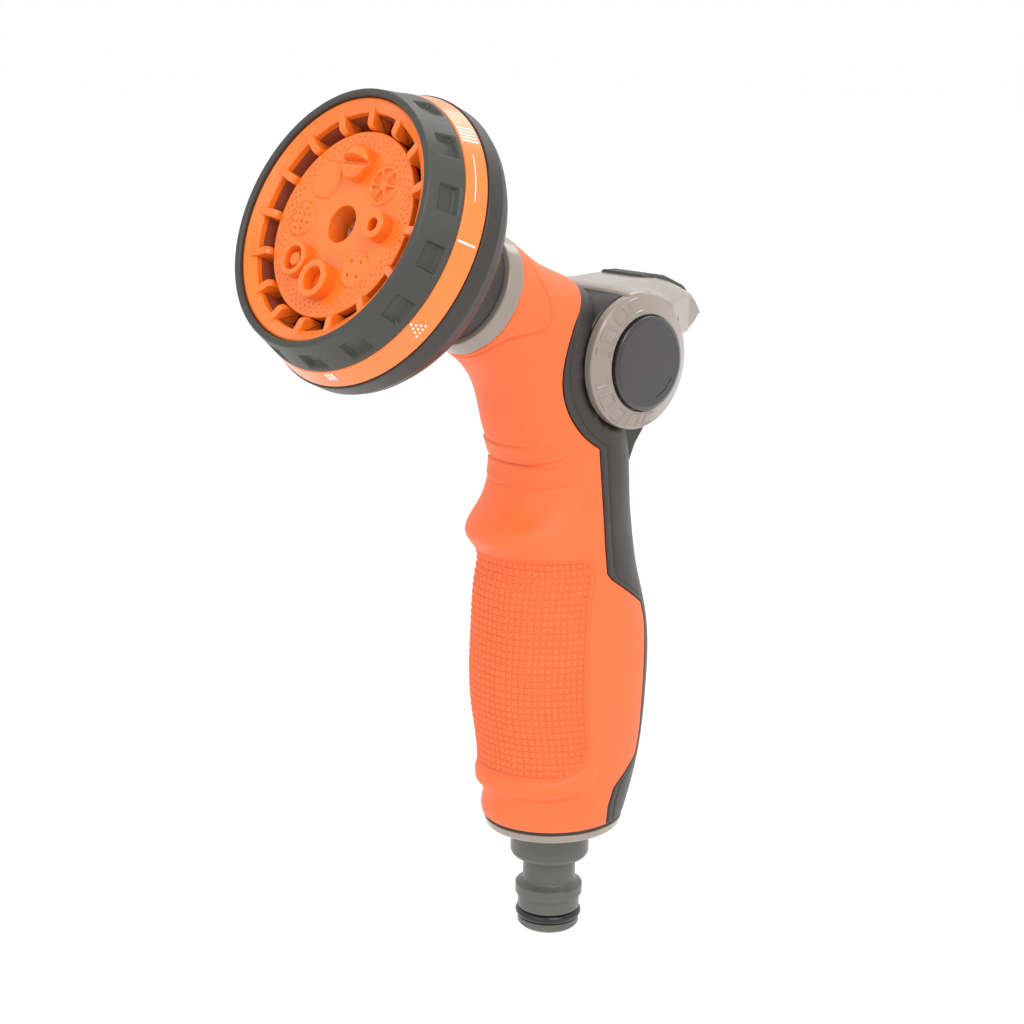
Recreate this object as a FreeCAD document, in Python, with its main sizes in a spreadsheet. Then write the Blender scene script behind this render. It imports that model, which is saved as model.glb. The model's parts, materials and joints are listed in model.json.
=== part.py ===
import FreeCAD, Part
import math
import os
import re
import Sketcher
from FreeCAD import Placement, Rotation, Vector

# Hose spray nozzle, millimetres. +Z runs up the hose connector's axis, the origin is the centre of the
# connector's lower end, the water leaves towards -Y and a little up, and the nozzle is symmetric about X = 0.

SIZES = {
    # Hub: the lever's axis runs along X through this point, and the spray head's axis starts from it.
    "hub_y": 9.5, "hub_z": 148.0, "head_tilt": 65.2,
    "barrel_radius": 16.6, "barrel_half": 14.4, "barrel_wall": 2.3,
    # Handle wall: soft skin over a hard shell, and the pivot line about which the neck bends.
    "skin": 2.2, "shell_wall": 2.4, "bend_y": -50.3, "bend_z": 118.0, "floor_top": 34.5,
    # Hose connector (standard quick-connect spigot).
    "water_bore": 4.5, "nose_radius": 7.9, "nose_chamfer": 0.8, "groove_low": 2.4, "groove_high": 5.0,
    "groove_radius": 6.2, "latch_low": 8.3, "latch_high": 11.4, "latch_radius": 8.6, "waist_radius": 6.7,
    "waist_low": 12.6, "waist_high": 18.6, "flange_low": 19.6, "flange_radius": 10.05, "flange_top": 28.8,
    "shank_radius": 8.5, "shank_top": 38.0, "socket_floor": 31.0, "oring_wire": 1.12,
    # Collars at the two ends of the handle.
    "end_low": 27.3, "end_top": 30.5, "seam_top": 31.4, "end_centre": 0.9, "end_half_width": 17.0,
    "end_half_depth": 18.3, "end_taper": 1.2, "collar_rear": 41.75, "collar_front": 45.8,
    "collar_radius": 14.85, "collar_front_radius": 14.05, "collar_tail": 36.0, "collar_tail_radius": 10.2,
    # Water way.
    "tube_radius": 6.0, "tube_bore": 4.7, "tube_knee": 42.0, "spigot_radius": 7.0, "spigot_bore": 5.0,
    "spigot_rear": 13.3, "spigot_front": 64.2, "spigot_wire": 0.7,
    # Valve.
    "plug_radius": 10.0, "plug_half": 8.6, "plug_groove": 6.9, "plug_wire": 0.72, "shaft_radius": 5.0,
    "shaft_half": 16.4, "port_radius": 4.5, "running_gap": 0.05, "valve_radius": 12.5, "valve_half": 12.0,
    "seat_radius": 6.0, "inlet_socket": 8.0, "inlet_reach": 26.0, "outlet_socket": 9.0, "outlet_reach": 23.0,
    # Lever.
    "disc_inner": 14.8, "disc_radius": 16.4, "disc_shoulder": 17.0, "disc_face": 19.6, "cap_radius": 11.4,
    "cap_seat": 17.9, "cap_top": 21.1, "lever_screw": 1.5, "lever_half": 17.0, "visor_inner": 17.0,
    "tab_inner": 18.7, "pad_half": 8.0, "disc_pocket": 16.9,
    # Spray head, stations along the head's axis from the hub.
    "rim": 89.4, "rim_radius": 29.57, "rim_inner": 28.0, "band_front": 80.7, "band_front_radius": 32.3,
    "band_rear": 75.5, "band_rear_radius": 34.0, "shell_radius": 34.3, "bulge_station": 70.5,
    "cone_front": 66.4, "cone_radius": 31.4, "neck_front": 58.0, "neck_radius": 13.0, "neck_rear": 46.1,
    "drum_radius": 30.0, "drum_bore": 28.3, "bush_radius": 10.95, "bush_front": 60.0,
    "cup_rear": 63.0, "cup_front": 69.0, "cup_radius": 17.0, "post_radius": 3.95, "post_front": 75.9,
    "screw_hole": 1.5, "port_circle": 11.2, "boss_radius": 5.3, "boss_front": 71.6, "seal_front": 72.4,
    "plate_rear": 72.5, "plate_front": 75.0, "chamber_front": 82.5, "hub_ring": 5.8, "chamber_radius": 21.4,
    "face": 85.1, "face_rear": 83.1, "face_radius": 21.5, "centre_hole": 4.25, "outlet_circle": 13.5,
    "channel_floor": 82.4, "bezel_lip": 86.9, "bezel_lip_radius": 25.0, "bezel_radius": 27.95,
    "rib_thickness": 1.3,
    # Detent.
    "detent_circle": 9.2, "detent_radius": 1.3, "detent_rear": 43.4, "detent_tip": 46.0, "dimple_depth": 0.6,
    "detent_floor": 41.9,
    # Small features: the housing's round edge at the hub, the fairing under it, and the face's edge holes.
    "hub_zone_radius": 22.3, "hub_zone_shift": -1.8, "fairing_low": 108.0, "fairing_half": 11.0,
    "edge_hole_circle": 18.9, "edge_hole": 0.4,
    "notch_width": 6.2, "notch_length": 4.1, "notch_radius": 30.1, "notch_angle": 16.0,
    "pad_groove": 0.35,
}
RIB_COUNT, NOTCH_COUNT, OUTLET_COUNT, EDGE_HOLE_COUNT, PAD_GROOVE_COUNT = 16, 15, 8, 48, 5

# Side outlines as (y, z) formulas. The hard housing shows behind the first one.
SPINE_SIDE = [
    ("60", "29"), ("3", "29"), ("3.6", "36"), ("5.4", "40.5"), ("15.2", "46.8"), ("17.2", "53"),
    ("17.2", "82"), ("15.1", "87.2"), ("2.2", "95.2"), ("0.6", "97"), ("-1.1", "120"), ("-1.8", "129"),
    ("hub_y", "hub_z"), ("-10.2", "152.2"), ("-5.1", "163.5"), ("-2", "167"), ("3", "172"), ("60", "172")]
VISOR_SIDE = [
    ("5.6", "164.9"), ("10", "166.8"), ("16", "167.6"), ("23", "167.1"), ("30", "165.2"),
    ("36.6", "162"), ("40.6", "157.6"), ("38.4", "155.8"), ("25.5", "152.6"), ("19", "156"),
    ("14", "161"), ("6.2", "163.4")]
PAD_SIDE = [
    ("10.5", "166.4"), ("16", "168.3"), ("23", "167.9"), ("30", "166"), ("36.9", "162.5"),
    ("37.6", "161"), ("36.2", "160.4"), ("29.5", "163.8"), ("23", "165.6"), ("16", "166.4")]
# The visor's outlines seen from the front, as (x, z), and from above, as (x, y).
VISOR_FRONT = [
    ("-lever_half", "140"), ("lever_half", "140"), ("lever_half", "162.4"), ("14", "165"),
    ("9", "166.8"), ("4", "167.6"), ("-4", "167.6"), ("-9", "166.8"), ("-14", "165"), ("-lever_half", "162.4")]
VISOR_PLAN = [
    ("-lever_half", "0"), ("lever_half", "0"), ("lever_half", "25"), ("9", "40.6"), ("-9", "40.6"),
    ("-lever_half", "25")]

# Handle sections: height, centre in Y, half width in X, half depth in Y.
GRIP = {
    "foot": (31.4, 0.9, 17.2, 18.8),
    "heel": (38.0, 1.5, 17.3, 20.9),
    "palm": (49.0, 2.5, 17.6, 22.3),
    "belly": (62.0, 2.0, 18.3, 23.8),
    "middle": (84.0, 1.3, 18.4, 23.1),
    "upper": (95.0, 0.1, 17.6, 20.9),
    "notch": (101.0, -0.6, 17.2, 20.3),
    "hook": (106.0, -2.7, 17.0, 22.0),
    "finger": (111.0, -1.9, 16.8, 20.2),
    "throat": (118.0, 0.0, 16.4, 17.3),
}
# Neck sections: angle about the bend line, distance of the centre from it, half width, half depth.
NECK = {
    "nape": (22.0, 51.1, 15.7, 17.9),
    "crest": (42.0, 54.4, 15.3, 18.6),
    "collar": (55.0, 52.7, 15.0, 15.7),
    "mouth": (65.2, 52.3, 14.9, 14.9),
}

doc = FreeCAD.newDocument("hose_spray_nozzle")
sizes = doc.addObject("Spreadsheet::Sheet", "sizes")
nodes = {}


def fill_sheet():
    """Write every driving size to the sheet, one row each, under its own alias."""
    values = dict(SIZES)
    for name, (height, centre, half_width, half_depth) in GRIP.items():
        values.update({name + "_height": height, name + "_centre": centre,
                       name + "_width": half_width, name + "_depth": half_depth})
    for name, (angle, distance, half_width, half_depth) in NECK.items():
        values.update({name + "_angle": angle, name + "_distance": distance,
                       name + "_width": half_width, name + "_depth": half_depth})
    for row, (alias, number) in enumerate(values.items(), start=1):
        sizes.set(f"A{row}", alias)
        sizes.set(f"B{row}", str(number))
        sizes.setAlias(f"B{row}", alias)
    doc.recompute()


def size(alias):
    """A driving size as a number, for placements."""
    return float(sizes.get(alias))


def formula(text):
    """Turn a formula in aliases, such as 'rim - skin', into an expression on the sheet."""
    return re.sub(r"[a-z]\w*", lambda word: "sizes." + word.group(0), str(text))


def add(kind, name, **formulas):
    """A document object whose properties follow the sheet."""
    thing = doc.addObject(kind, name)
    for prop, text in formulas.items():
        thing.setExpression(prop, formula(text))
    return thing


def keep(name, thing, where=None):
    """Register a finished sub-part under its node name and put it in its place."""
    thing.Label = name
    if where is not None:
        thing.Placement = where
    nodes[name] = thing
    return thing


def boolean(kind, name, base, tool):
    """A two-part boolean that keeps its faces as cut, since merging lofted faces spoils them."""
    thing = doc.addObject(kind, name)
    thing.Base, thing.Tool, thing.Refine = base, tool, False
    return thing


def cut(name, base, tool):
    return boolean("Part::Cut", name, base, tool)


def join(name, base, tool):
    return boolean("Part::Fuse", name, base, tool)


def common(name, base, tool):
    return boolean("Part::Common", name, base, tool)


def fuse(name, *parts):
    thing = doc.addObject("Part::MultiFuse", name)
    thing.Shapes = list(parts)
    return thing


def cylinder(name, radius, length, start=0, where=None):
    """A cylinder along its own Z from the station start, moved by where."""
    thing = add("Part::Cylinder", name, Radius=radius, Height=length)
    doc.recompute()
    base = Placement(Vector(0, 0, number(start)), Rotation())
    thing.Placement = where * base if where else base
    return thing


def number(text):
    """The value of a formula in aliases that is one alias or number, or a sum or difference of them."""
    total = 0.0
    for sign, word in re.findall(r"([+-]?)\s*([\w.]+)", str(text)):
        value = size(word) if word[0].isalpha() else float(word)
        total += -value if sign == "-" else value
    return total


def ring_of_wire(name, radius, wire, station, where=None):
    """An O-ring round the local Z axis."""
    thing = add("Part::Torus", name, Radius1=radius, Radius2=wire)
    base = Placement(Vector(0, 0, number(station)), Rotation())
    thing.Placement = where * base if where else base
    return thing


def outline_sketch(body, name, role, points):
    """A closed outline on one of the body's origin planes, each corner held by two sizes from the sheet."""
    sketch = body.newObject("Sketcher::SketchObject", name)
    plane = next(item for item in body.Origin.OriginFeatures if item.Role == role)
    sketch.AttachmentSupport = [(plane, "")]
    sketch.MapMode = "FlatFace"
    count = len(points)
    corners = [Vector(100 + 50 * math.cos(2 * math.pi * i / count), 50 * math.sin(2 * math.pi * i / count), 0)
               for i in range(count)]
    for i in range(count):
        sketch.addGeometry(Part.LineSegment(corners[i], corners[(i + 1) % count]), False)
    for i in range(count):
        sketch.addConstraint(Sketcher.Constraint("Coincident", i, 2, (i + 1) % count, 1))
    for i, (across, along) in enumerate(points):
        for kind, text in (("DistanceX", across), ("DistanceY", along)):
            index = sketch.addConstraint(Sketcher.Constraint(kind, -1, 1, i, 1, 10.0))
            sketch.setExpression(f"Constraints[{index}]", formula(text))
    return sketch


def turned(name, points):
    """A turned piece: (radius, station) corners revolved about the local Z axis."""
    body = doc.addObject("PartDesign::Body", name + "_body")
    sketch = outline_sketch(body, name + "_outline", "XZ_Plane", points)
    revolution = body.newObject("PartDesign::Revolution", name + "_turned")
    revolution.Profile = sketch
    revolution.ReferenceAxis = (sketch, ["V_Axis"])
    revolution.Angle = 360
    body.Tip = revolution
    return body


def prism(name, role, points, length):
    """A plate with the given outline, centred on its plane; YZ_Plane gives one that is wide along X."""
    body = doc.addObject("PartDesign::Body", name + "_body")
    sketch = outline_sketch(body, name + "_outline", role, points)
    pad = body.newObject("PartDesign::Pad", name + "_pad")
    pad.Profile = sketch
    pad.SideType = "Symmetric"
    pad.setExpression("Length", formula(length))
    body.Tip = pad
    return body


def circle_sketch(body, name, circle, radius, station, angle=0.0):
    """A circle at the radius 'circle' from the axis, turned by an angle, on a plane at a station."""
    sketch = body.newObject("Sketcher::SketchObject", name)
    plane = next(item for item in body.Origin.OriginFeatures if item.Role == "XY_Plane")
    sketch.AttachmentSupport = [(plane, "")]
    sketch.MapMode = "FlatFace"
    sketch.AttachmentOffset = Placement(Vector(0, 0, number(station)), Rotation(Vector(0, 0, 1), angle))
    sketch.addGeometry(Part.Circle(Vector(5, 0, 0), Vector(0, 0, 1), 1.0), False)
    sketch.addConstraint(Sketcher.Constraint("PointOnObject", 0, 3, -1))
    for kind, text in (("DistanceX", circle), ("Radius", radius)):
        if kind == "Radius":
            index = sketch.addConstraint(Sketcher.Constraint(kind, 0, 1.0))
        else:
            index = sketch.addConstraint(Sketcher.Constraint(kind, -1, 1, 0, 3, 5.0))
        sketch.setExpression(f"Constraints[{index}]", formula(text))
    return sketch


def drilled(body, name, circle, radius, station, depth, count=1, angle=0.0):
    """Holes going up from a station, in a ring of count, taken out of the body's last feature."""
    doc.recompute()
    before = body.Shape.Volume
    sketch = circle_sketch(body, name + "_circle", circle, radius, station, angle)
    pocket = body.newObject("PartDesign::Pocket", name)
    pocket.Profile = sketch
    pocket.Reversed = True
    pocket.setExpression("Length", formula(depth))
    repeated(body, name, pocket, sketch, count)
    if body.Shape.Volume > before - 1e-4:
        raise RuntimeError(name + " removed nothing")
    return body


def bossed(body, name, circle, radius, station, height, count=1, angle=0.0):
    """Round bosses going up from a station, in a ring of count."""
    doc.recompute()
    sketch = circle_sketch(body, name + "_circle", circle, radius, station, angle)
    pad = body.newObject("PartDesign::Pad", name)
    pad.Profile = sketch
    pad.setExpression("Length", formula(height))
    return repeated(body, name, pad, sketch, count)


def repeated(body, name, feature, sketch, count):
    """Repeat a feature round the local Z axis, if there is more than one of it."""
    body.Tip = feature
    if count > 1:
        pattern = body.newObject("PartDesign::PolarPattern", name + "_ring")
        pattern.Originals = [feature]
        pattern.Axis = (sketch, ["N_Axis"])
        pattern.Angle = 360
        pattern.Occurrences = count
        body.Tip = pattern
    doc.recompute()
    return body


def bars(name, inner, outer, thickness, low, high, count):
    """Radial bars about the local Z axis, fused into one tool."""
    pieces = []
    for i in range(count):
        bar = add("Part::Box", f"{name}_{i}", Length=f"{outer} - ({inner})", Width=thickness,
                  Height=f"{high} - ({low})")
        turn = Rotation(Vector(0, 0, 1), 360.0 * i / count)
        corner = Vector(number(inner), -number(thickness) / 2, number(low))
        bar.Placement = Placement(turn.multVec(corner), turn)
        pieces.append(bar)
    return fuse(name, *pieces)


def coil(name, radius, pitch, height, wire, where):
    """A compression spring: a round wire swept along a helix."""
    helix = doc.addObject("Part::Helix", name + "_helix")
    helix.Radius, helix.Pitch, helix.Height = radius, pitch, height
    profile = doc.addObject("Part::Circle", name + "_wire")
    profile.Radius = wire
    profile.Placement = Placement(Vector(radius, 0, 0), Rotation(Vector(1, 0, 0), 90))
    sweep = doc.addObject("Part::Sweep", name)
    sweep.Sections, sweep.Spine = [profile], (helix, ["Edge1"])
    sweep.Solid, sweep.Frenet = True, True
    sweep.Placement = where
    return sweep


# ---------------------------------------------------------------- frames

fill_sheet()
HUB = Vector(0, size("hub_y"), size("hub_z"))
HEAD = Placement(HUB, Rotation(Vector(1, 0, 0), size("head_tilt")))
SLANT = math.degrees(math.atan2(size("hub_y"), size("hub_z") - size("tube_knee")))
INLET = Placement(HUB, Rotation(Vector(1, 0, 0), 180 - SLANT))
HUB_RIGHT = Placement(HUB, Rotation(Vector(0, 1, 0), 90))
HUB_LEFT = Placement(HUB, Rotation(Vector(0, 1, 0), -90))


def up_head(x, y, station):
    """A placement at (x, y, station) in the head's own frame."""
    return HEAD * Placement(Vector(x, y, station), Rotation())


# ---------------------------------------------------------------- handle

def handle_section(name, station, inset, where):
    half_width, half_depth = f"{station}_width", f"{station}_depth"
    if inset:
        half_width, half_depth = f"{half_width} - {inset}", f"{half_depth} - {inset}"
    section = add("Part::Ellipse", f"{name}_{station}", MajorRadius=half_depth, MinorRadius=half_width)
    section.Placement = where * Placement(Vector(), Rotation(Vector(0, 0, 1), 90))
    return section


def handle_loft(name, inset, skipped=()):
    """The handle's outer form from foot to mouth, shrunk by an inset."""
    sections = []
    for station in GRIP:
        if station not in skipped:
            centre = Vector(0, size(station + "_centre"), size(station + "_height"))
            sections.append(handle_section(name, station, inset, Placement(centre, Rotation())))
    for station in NECK:
        turn = Rotation(Vector(1, 0, 0), size(station + "_angle"))
        bend = Vector(0, size("bend_y"), size("bend_z"))
        centre = bend + turn.multVec(Vector(0, size(station + "_distance"), 0))
        sections.append(handle_section(name, station, inset, Placement(centre, turn)))
    loft = doc.addObject("Part::Loft", name)
    loft.Sections, loft.Solid, loft.Ruled = sections, True, False
    return loft


def block(name, low, high):
    """A plain box between two corners, used as a cutting or keeping zone."""
    box = doc.addObject("Part::Box", name)
    box.Length, box.Width, box.Height = [b - a for a, b in zip(low, high)]
    box.Placement = Placement(Vector(*low), Rotation())
    return box


def hub_cylinder(name, radius, half_length):
    """A cylinder along X, centred on the hub."""
    thing = add("Part::Cylinder", name, Radius=radius, Height=f"2 * ({half_length})")
    start = Placement(Vector(0, 0, -number(half_length)), Rotation())
    thing.Placement = HUB_RIGHT * start
    return thing


def make_handle():
    """The overmoulded grip cover and the two halves of the hard housing."""
    bumps = ("notch", "hook", "finger")
    outer = handle_loft("outer_form", "")
    core = handle_loft("core_form", "skin", bumps)
    cavity = handle_loft("cavity_form", "(skin + shell_wall)", bumps)

    barrel = hub_cylinder("barrel_form", "barrel_radius", "barrel_half + 0.3")
    fairing = prism("fairing", "YZ_Plane", [
        ("hub_y - 14", "fairing_low"), ("hub_y + 3", "fairing_low"), ("hub_y + 4.1", "hub_z - 27"),
        ("hub_y + 6.4", "hub_z - 22"), ("hub_y + 9.4", "hub_z - 18.2"), ("hub_y + 15.9", "hub_z - 6"),
        ("hub_y", "hub_z")], "2 * fairing_half")
    spine = prism("spine_zone", "YZ_Plane", SPINE_SIDE, "60")
    hub_zone = hub_cylinder("hub_zone", "hub_zone_radius", "30")
    shift = size("hub_zone_shift")
    hub_zone.Placement = Placement(Vector(0, shift, shift), Rotation()) * hub_zone.Placement
    zone = fuse("housing_zone", spine, hub_zone)

    # Room for the lever: two round pockets beside the barrel, and the space over the barrel.
    pocket_right = cylinder("pocket_right", "disc_pocket", "20", "barrel_half", HUB_RIGHT)
    pocket_left = cylinder("pocket_left", "disc_pocket", "20", "barrel_half", HUB_LEFT)
    over = cut("over_barrel", block("over_box", (-30, 5.1, 150), (30, 60, 190)),
               hub_cylinder("over_core", "barrel_radius - 0.05", "40"))
    lever_room = fuse("lever_room", pocket_right, pocket_left, over)

    skin = cut("skin_behind_zone", cut("skin_over_core", outer, core), zone)
    keep("grip_cover", cut("skin_clear_of_lever", skin, lever_room))

    spine_skin = common("spine_skin", outer, zone)
    housing = join("core_and_spine", core, spine_skin)
    housing = join("housing_and_fairing", housing, fairing)
    housing = join("housing_and_barrel", housing, barrel)
    housing = cut("housing_outer", housing, lever_room)
    inside = cut("inside", cavity, block("floor_block", (-40, -40, 20), (40, 60, size("floor_top"))))
    for tool in (inside,
                 hub_cylinder("barrel_hollow", "barrel_radius - barrel_wall", "barrel_half - barrel_wall"),
                 hub_cylinder("shaft_hole", "shaft_radius + 0.4", "30"),
                 cylinder("tube_channel", "inlet_socket + 0.6", "40", 0, INLET),
                 cylinder("neck_bore", "collar_tail_radius + 0.3", "35", 9, HEAD),
                 cylinder("shank_hole", "shank_radius + 0.1", "20", 25)):
        housing = cut("housing_less_" + tool.Name, housing, tool)
    keep("housing_right", common("right_half", housing, block("right_box", (0, -90, 0), (60, 90, 230))))
    keep("housing_left", common("left_half", housing, block("left_box", (-60, -90, 0), (0, 90, 230))))


def end_section(name, height, taper):
    section = add("Part::Ellipse", name, MajorRadius=f"end_half_depth - {taper}",
                  MinorRadius=f"end_half_width - {taper}")
    section.Placement = Placement(Vector(0, size("end_centre"), number(height)), Rotation(Vector(0, 0, 1), 90))
    return section


def end_disc(name, rows):
    """A ruled elliptical disc through (height, taper) rows, bored for the connector's flange."""
    loft = doc.addObject("Part::Loft", name + "_loft")
    loft.Sections = [end_section(f"{name}_{i}", height, taper) for i, (height, taper) in enumerate(rows)]
    loft.Solid, loft.Ruled = True, True
    return cut(name + "_bored", loft, cylinder(name + "_bore", "flange_radius + 0.2", "20", 20))


def make_collars():
    keep("end_collar", end_disc("end_collar", [
        ("end_low", "end_taper"), ("end_low + 1.2", "0"), ("end_top", "0")]))
    keep("seam_ring", end_disc("seam_ring", [("end_top", "0.5"), ("seam_top", "0.5")]))
    collar = turned("neck_collar", [
        ("spigot_radius + 0.15", "collar_tail"), ("collar_tail_radius", "collar_tail"),
        ("collar_tail_radius", "collar_rear"), ("collar_radius", "collar_rear"),
        ("collar_radius", "collar_rear + 0.3"), ("collar_front_radius", "collar_front"),
        ("spigot_radius + 0.15", "collar_front")])
    pocket = cylinder("detent_pocket", "detent_radius + 0.05", "8")
    pocket.Placement = Placement(Vector(0, size("detent_circle"), size("detent_floor")), Rotation())
    keep("neck_collar", cut("neck_collar_cut", collar, pocket), HEAD)


# ---------------------------------------------------------------- connector

def make_connector():
    adaptor = turned("hose_adaptor", [
        ("water_bore", "0"), ("nose_radius - nose_chamfer", "0"), ("nose_radius", "nose_chamfer"),
        ("nose_radius", "groove_low"), ("groove_radius", "groove_low"), ("groove_radius", "groove_high"),
        ("nose_radius", "groove_high"), ("nose_radius", "latch_low"),
        ("latch_radius", "latch_low + 0.5"), ("latch_radius", "latch_high"),
        ("waist_radius + 0.9", "waist_low - 0.2"), ("waist_radius", "waist_low"),
        ("waist_radius", "waist_high"), ("flange_radius - 0.4", "flange_low"),
        ("flange_radius", "flange_low + 0.9"), ("flange_radius", "flange_top"),
        ("shank_radius", "flange_top"), ("shank_radius", "shank_top"),
        ("tube_radius + 0.02", "shank_top"), ("tube_radius + 0.02", "socket_floor"),
        ("water_bore", "socket_floor")])
    keep("hose_adaptor", adaptor)
    keep("adaptor_oring", ring_of_wire("nose_oring", "groove_radius + oring_wire + 0.02", "oring_wire",
                                       "groove_low + 1.3"))
    keep("adaptor_washer", turned("adaptor_washer", [
        ("shank_radius + 0.05", "flange_top"), ("flange_radius", "flange_top"),
        ("flange_radius", "seam_top - 0.05"), ("shank_radius + 0.05", "seam_top - 0.05")]))


# ---------------------------------------------------------------- water way and valve

def knee_pipe(name, radius):
    """A pipe up from the connector, with a knee, along the slanting inlet line to the valve."""
    reach = math.dist((0, size("tube_knee")), (size("hub_y"), size("hub_z"))) - size("plug_radius") - 4
    knee = Vector(0, 0, size("tube_knee"))
    lower = cylinder(name + "_lower", radius, "tube_knee - socket_floor", "socket_floor")
    ball = add("Part::Sphere", name + "_knee", Radius=radius)
    ball.Placement = Placement(knee, Rotation())
    upper = add("Part::Cylinder", name + "_upper", Radius=radius)
    upper.Height = reach
    upper.Placement = Placement(knee, Rotation(Vector(1, 0, 0), -SLANT))
    return fuse(name, lower, ball, upper)


def make_water_way():
    keep("inlet_tube", cut("inlet_tube_cut", knee_pipe("tube_skin", "tube_radius"),
                           knee_pipe("tube_hole", "tube_bore")))
    groove = "plug_radius + 16"
    upper = ring_of_wire("tube_oring_upper", "tube_radius + 0.72", "0.7", groove, INLET)
    lower = ring_of_wire("tube_oring_lower", "tube_radius + 0.72", "0.7", "shank_top + 0.72")
    keep("tube_orings", fuse("tube_oring_pair", upper, lower))
    rear, front = "spigot_rear + 4", "bush_front - 6"
    spigot = turned("outlet_spigot", [
        ("spigot_bore", "spigot_rear"), ("spigot_radius", "spigot_rear"),
        ("spigot_radius", f"{rear} - 0.9"), ("spigot_radius - 1.35", f"{rear} - 0.9"),
        ("spigot_radius - 1.35", f"{rear} + 0.9"), ("spigot_radius", f"{rear} + 0.9"),
        ("spigot_radius", f"{front} - 0.9"), ("spigot_radius - 1.35", f"{front} - 0.9"),
        ("spigot_radius - 1.35", f"{front} + 0.9"), ("spigot_radius", f"{front} + 0.9"),
        ("spigot_radius", "spigot_front"), ("spigot_bore", "spigot_front")])
    keep("outlet_spigot", spigot, HEAD)
    seal_radius = "spigot_radius - 1.35 + spigot_wire"
    pair = [ring_of_wire(f"spigot_oring_{i}", seal_radius, "spigot_wire - 0.04", station, HEAD)
            for i, station in enumerate(("spigot_rear + 4", "bush_front - 6"))]
    keep("spigot_orings", fuse("spigot_oring_pair", *pair))


def make_valve():
    """The valve body, with the plug that the lever turns: 55 degrees takes its ports out of line."""
    shell = hub_cylinder("valve_barrel", "valve_radius", "valve_half")
    inlet = cylinder("inlet_socket_form", "inlet_socket", "inlet_reach - 9", 9, INLET)
    outlet = cylinder("outlet_socket_form", "outlet_socket", "outlet_reach - 9", 9, HEAD)
    bore = hub_cylinder("valve_bore", "plug_radius + running_gap", "30")
    ways = [bore]
    sockets = (("inlet", INLET, "tube_radius + 0.02"), ("outlet", HEAD, "spigot_radius + 0.02"))
    for name, frame, socket in sockets:
        ways.append(cylinder(name + "_port", "port_radius", "20", 0, frame))
        ways.append(cylinder(name + "_seat_pocket", "seat_radius", "12", 0, frame))
        ways.append(cylinder(name + "_socket_bore", socket, "20", "spigot_rear", frame))
    ways.append(cylinder("oring_pocket", "tube_radius + 1.44", "2", "plug_radius + 15.28", INLET))
    keep("valve_body", cut("valve_body_cut", fuse("valve_body_form", shell, inlet, outlet),
                           fuse("valve_ways", *ways)))

    rings = []
    for name, frame in (("inlet", INLET), ("outlet", HEAD)):
        sleeve = cylinder(name + "_seat_form", "seat_radius", "4", "8", frame)
        hole = cylinder(name + "_seat_hole", "port_radius", "8", "6", frame)
        rings.append(cut(name + "_seat_ring", sleeve, hole))
    clear = hub_cylinder("plug_clearance", "plug_radius + running_gap", "30")
    keep("seat_seals", cut("seat_seal_pair", fuse("seat_rings", *rings), clear))

    gland = [
        ("shaft_radius + running_gap", "plug_half + 0.2"), ("plug_radius + 0.03", "plug_half + 0.2"),
        ("plug_radius + 0.03", "valve_half"), ("shaft_radius + running_gap", "valve_half")]
    glands = [turned("gland_right", gland), turned("gland_left", gland)]
    glands[0].Placement, glands[1].Placement = HUB_RIGHT, HUB_LEFT
    keep("valve_glands", fuse("valve_gland_pair", *glands))

    groove = "plug_radius - 2 * plug_wire"
    half = [("lever_screw", "shaft_half"), ("shaft_radius", "shaft_half"), ("shaft_radius", "plug_half"),
            ("plug_radius", "plug_half"), ("plug_radius", "plug_groove + 0.8"), (groove, "plug_groove + 0.8"),
            (groove, "plug_groove - 0.8"), ("plug_radius", "plug_groove - 0.8")]
    other = [(radius, f"-({station})") for radius, station in reversed(half)]
    blind = "shaft_half - 8"
    plug = turned("valve_plug", half + other + [
        ("lever_screw", f"-({blind})"), ("0", f"-({blind})"), ("0", blind), ("lever_screw", blind)])
    plug.Placement = HUB_RIGHT
    ports = fuse("plug_ports", cylinder("plug_inlet", "port_radius", "12", 0, INLET),
                 cylinder("plug_outlet", "port_radius", "12", 0, HEAD))
    keep("valve_plug", cut("valve_plug_cut", plug, ports))
    seals = [
        ring_of_wire(f"plug_oring_{i}", "plug_radius - plug_wire", "plug_wire - 0.02", "plug_groove", frame)
        for i, frame in enumerate((HUB_RIGHT, HUB_LEFT))]
    keep("plug_orings", fuse("plug_oring_pair", *seals))


# ---------------------------------------------------------------- lever

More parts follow.
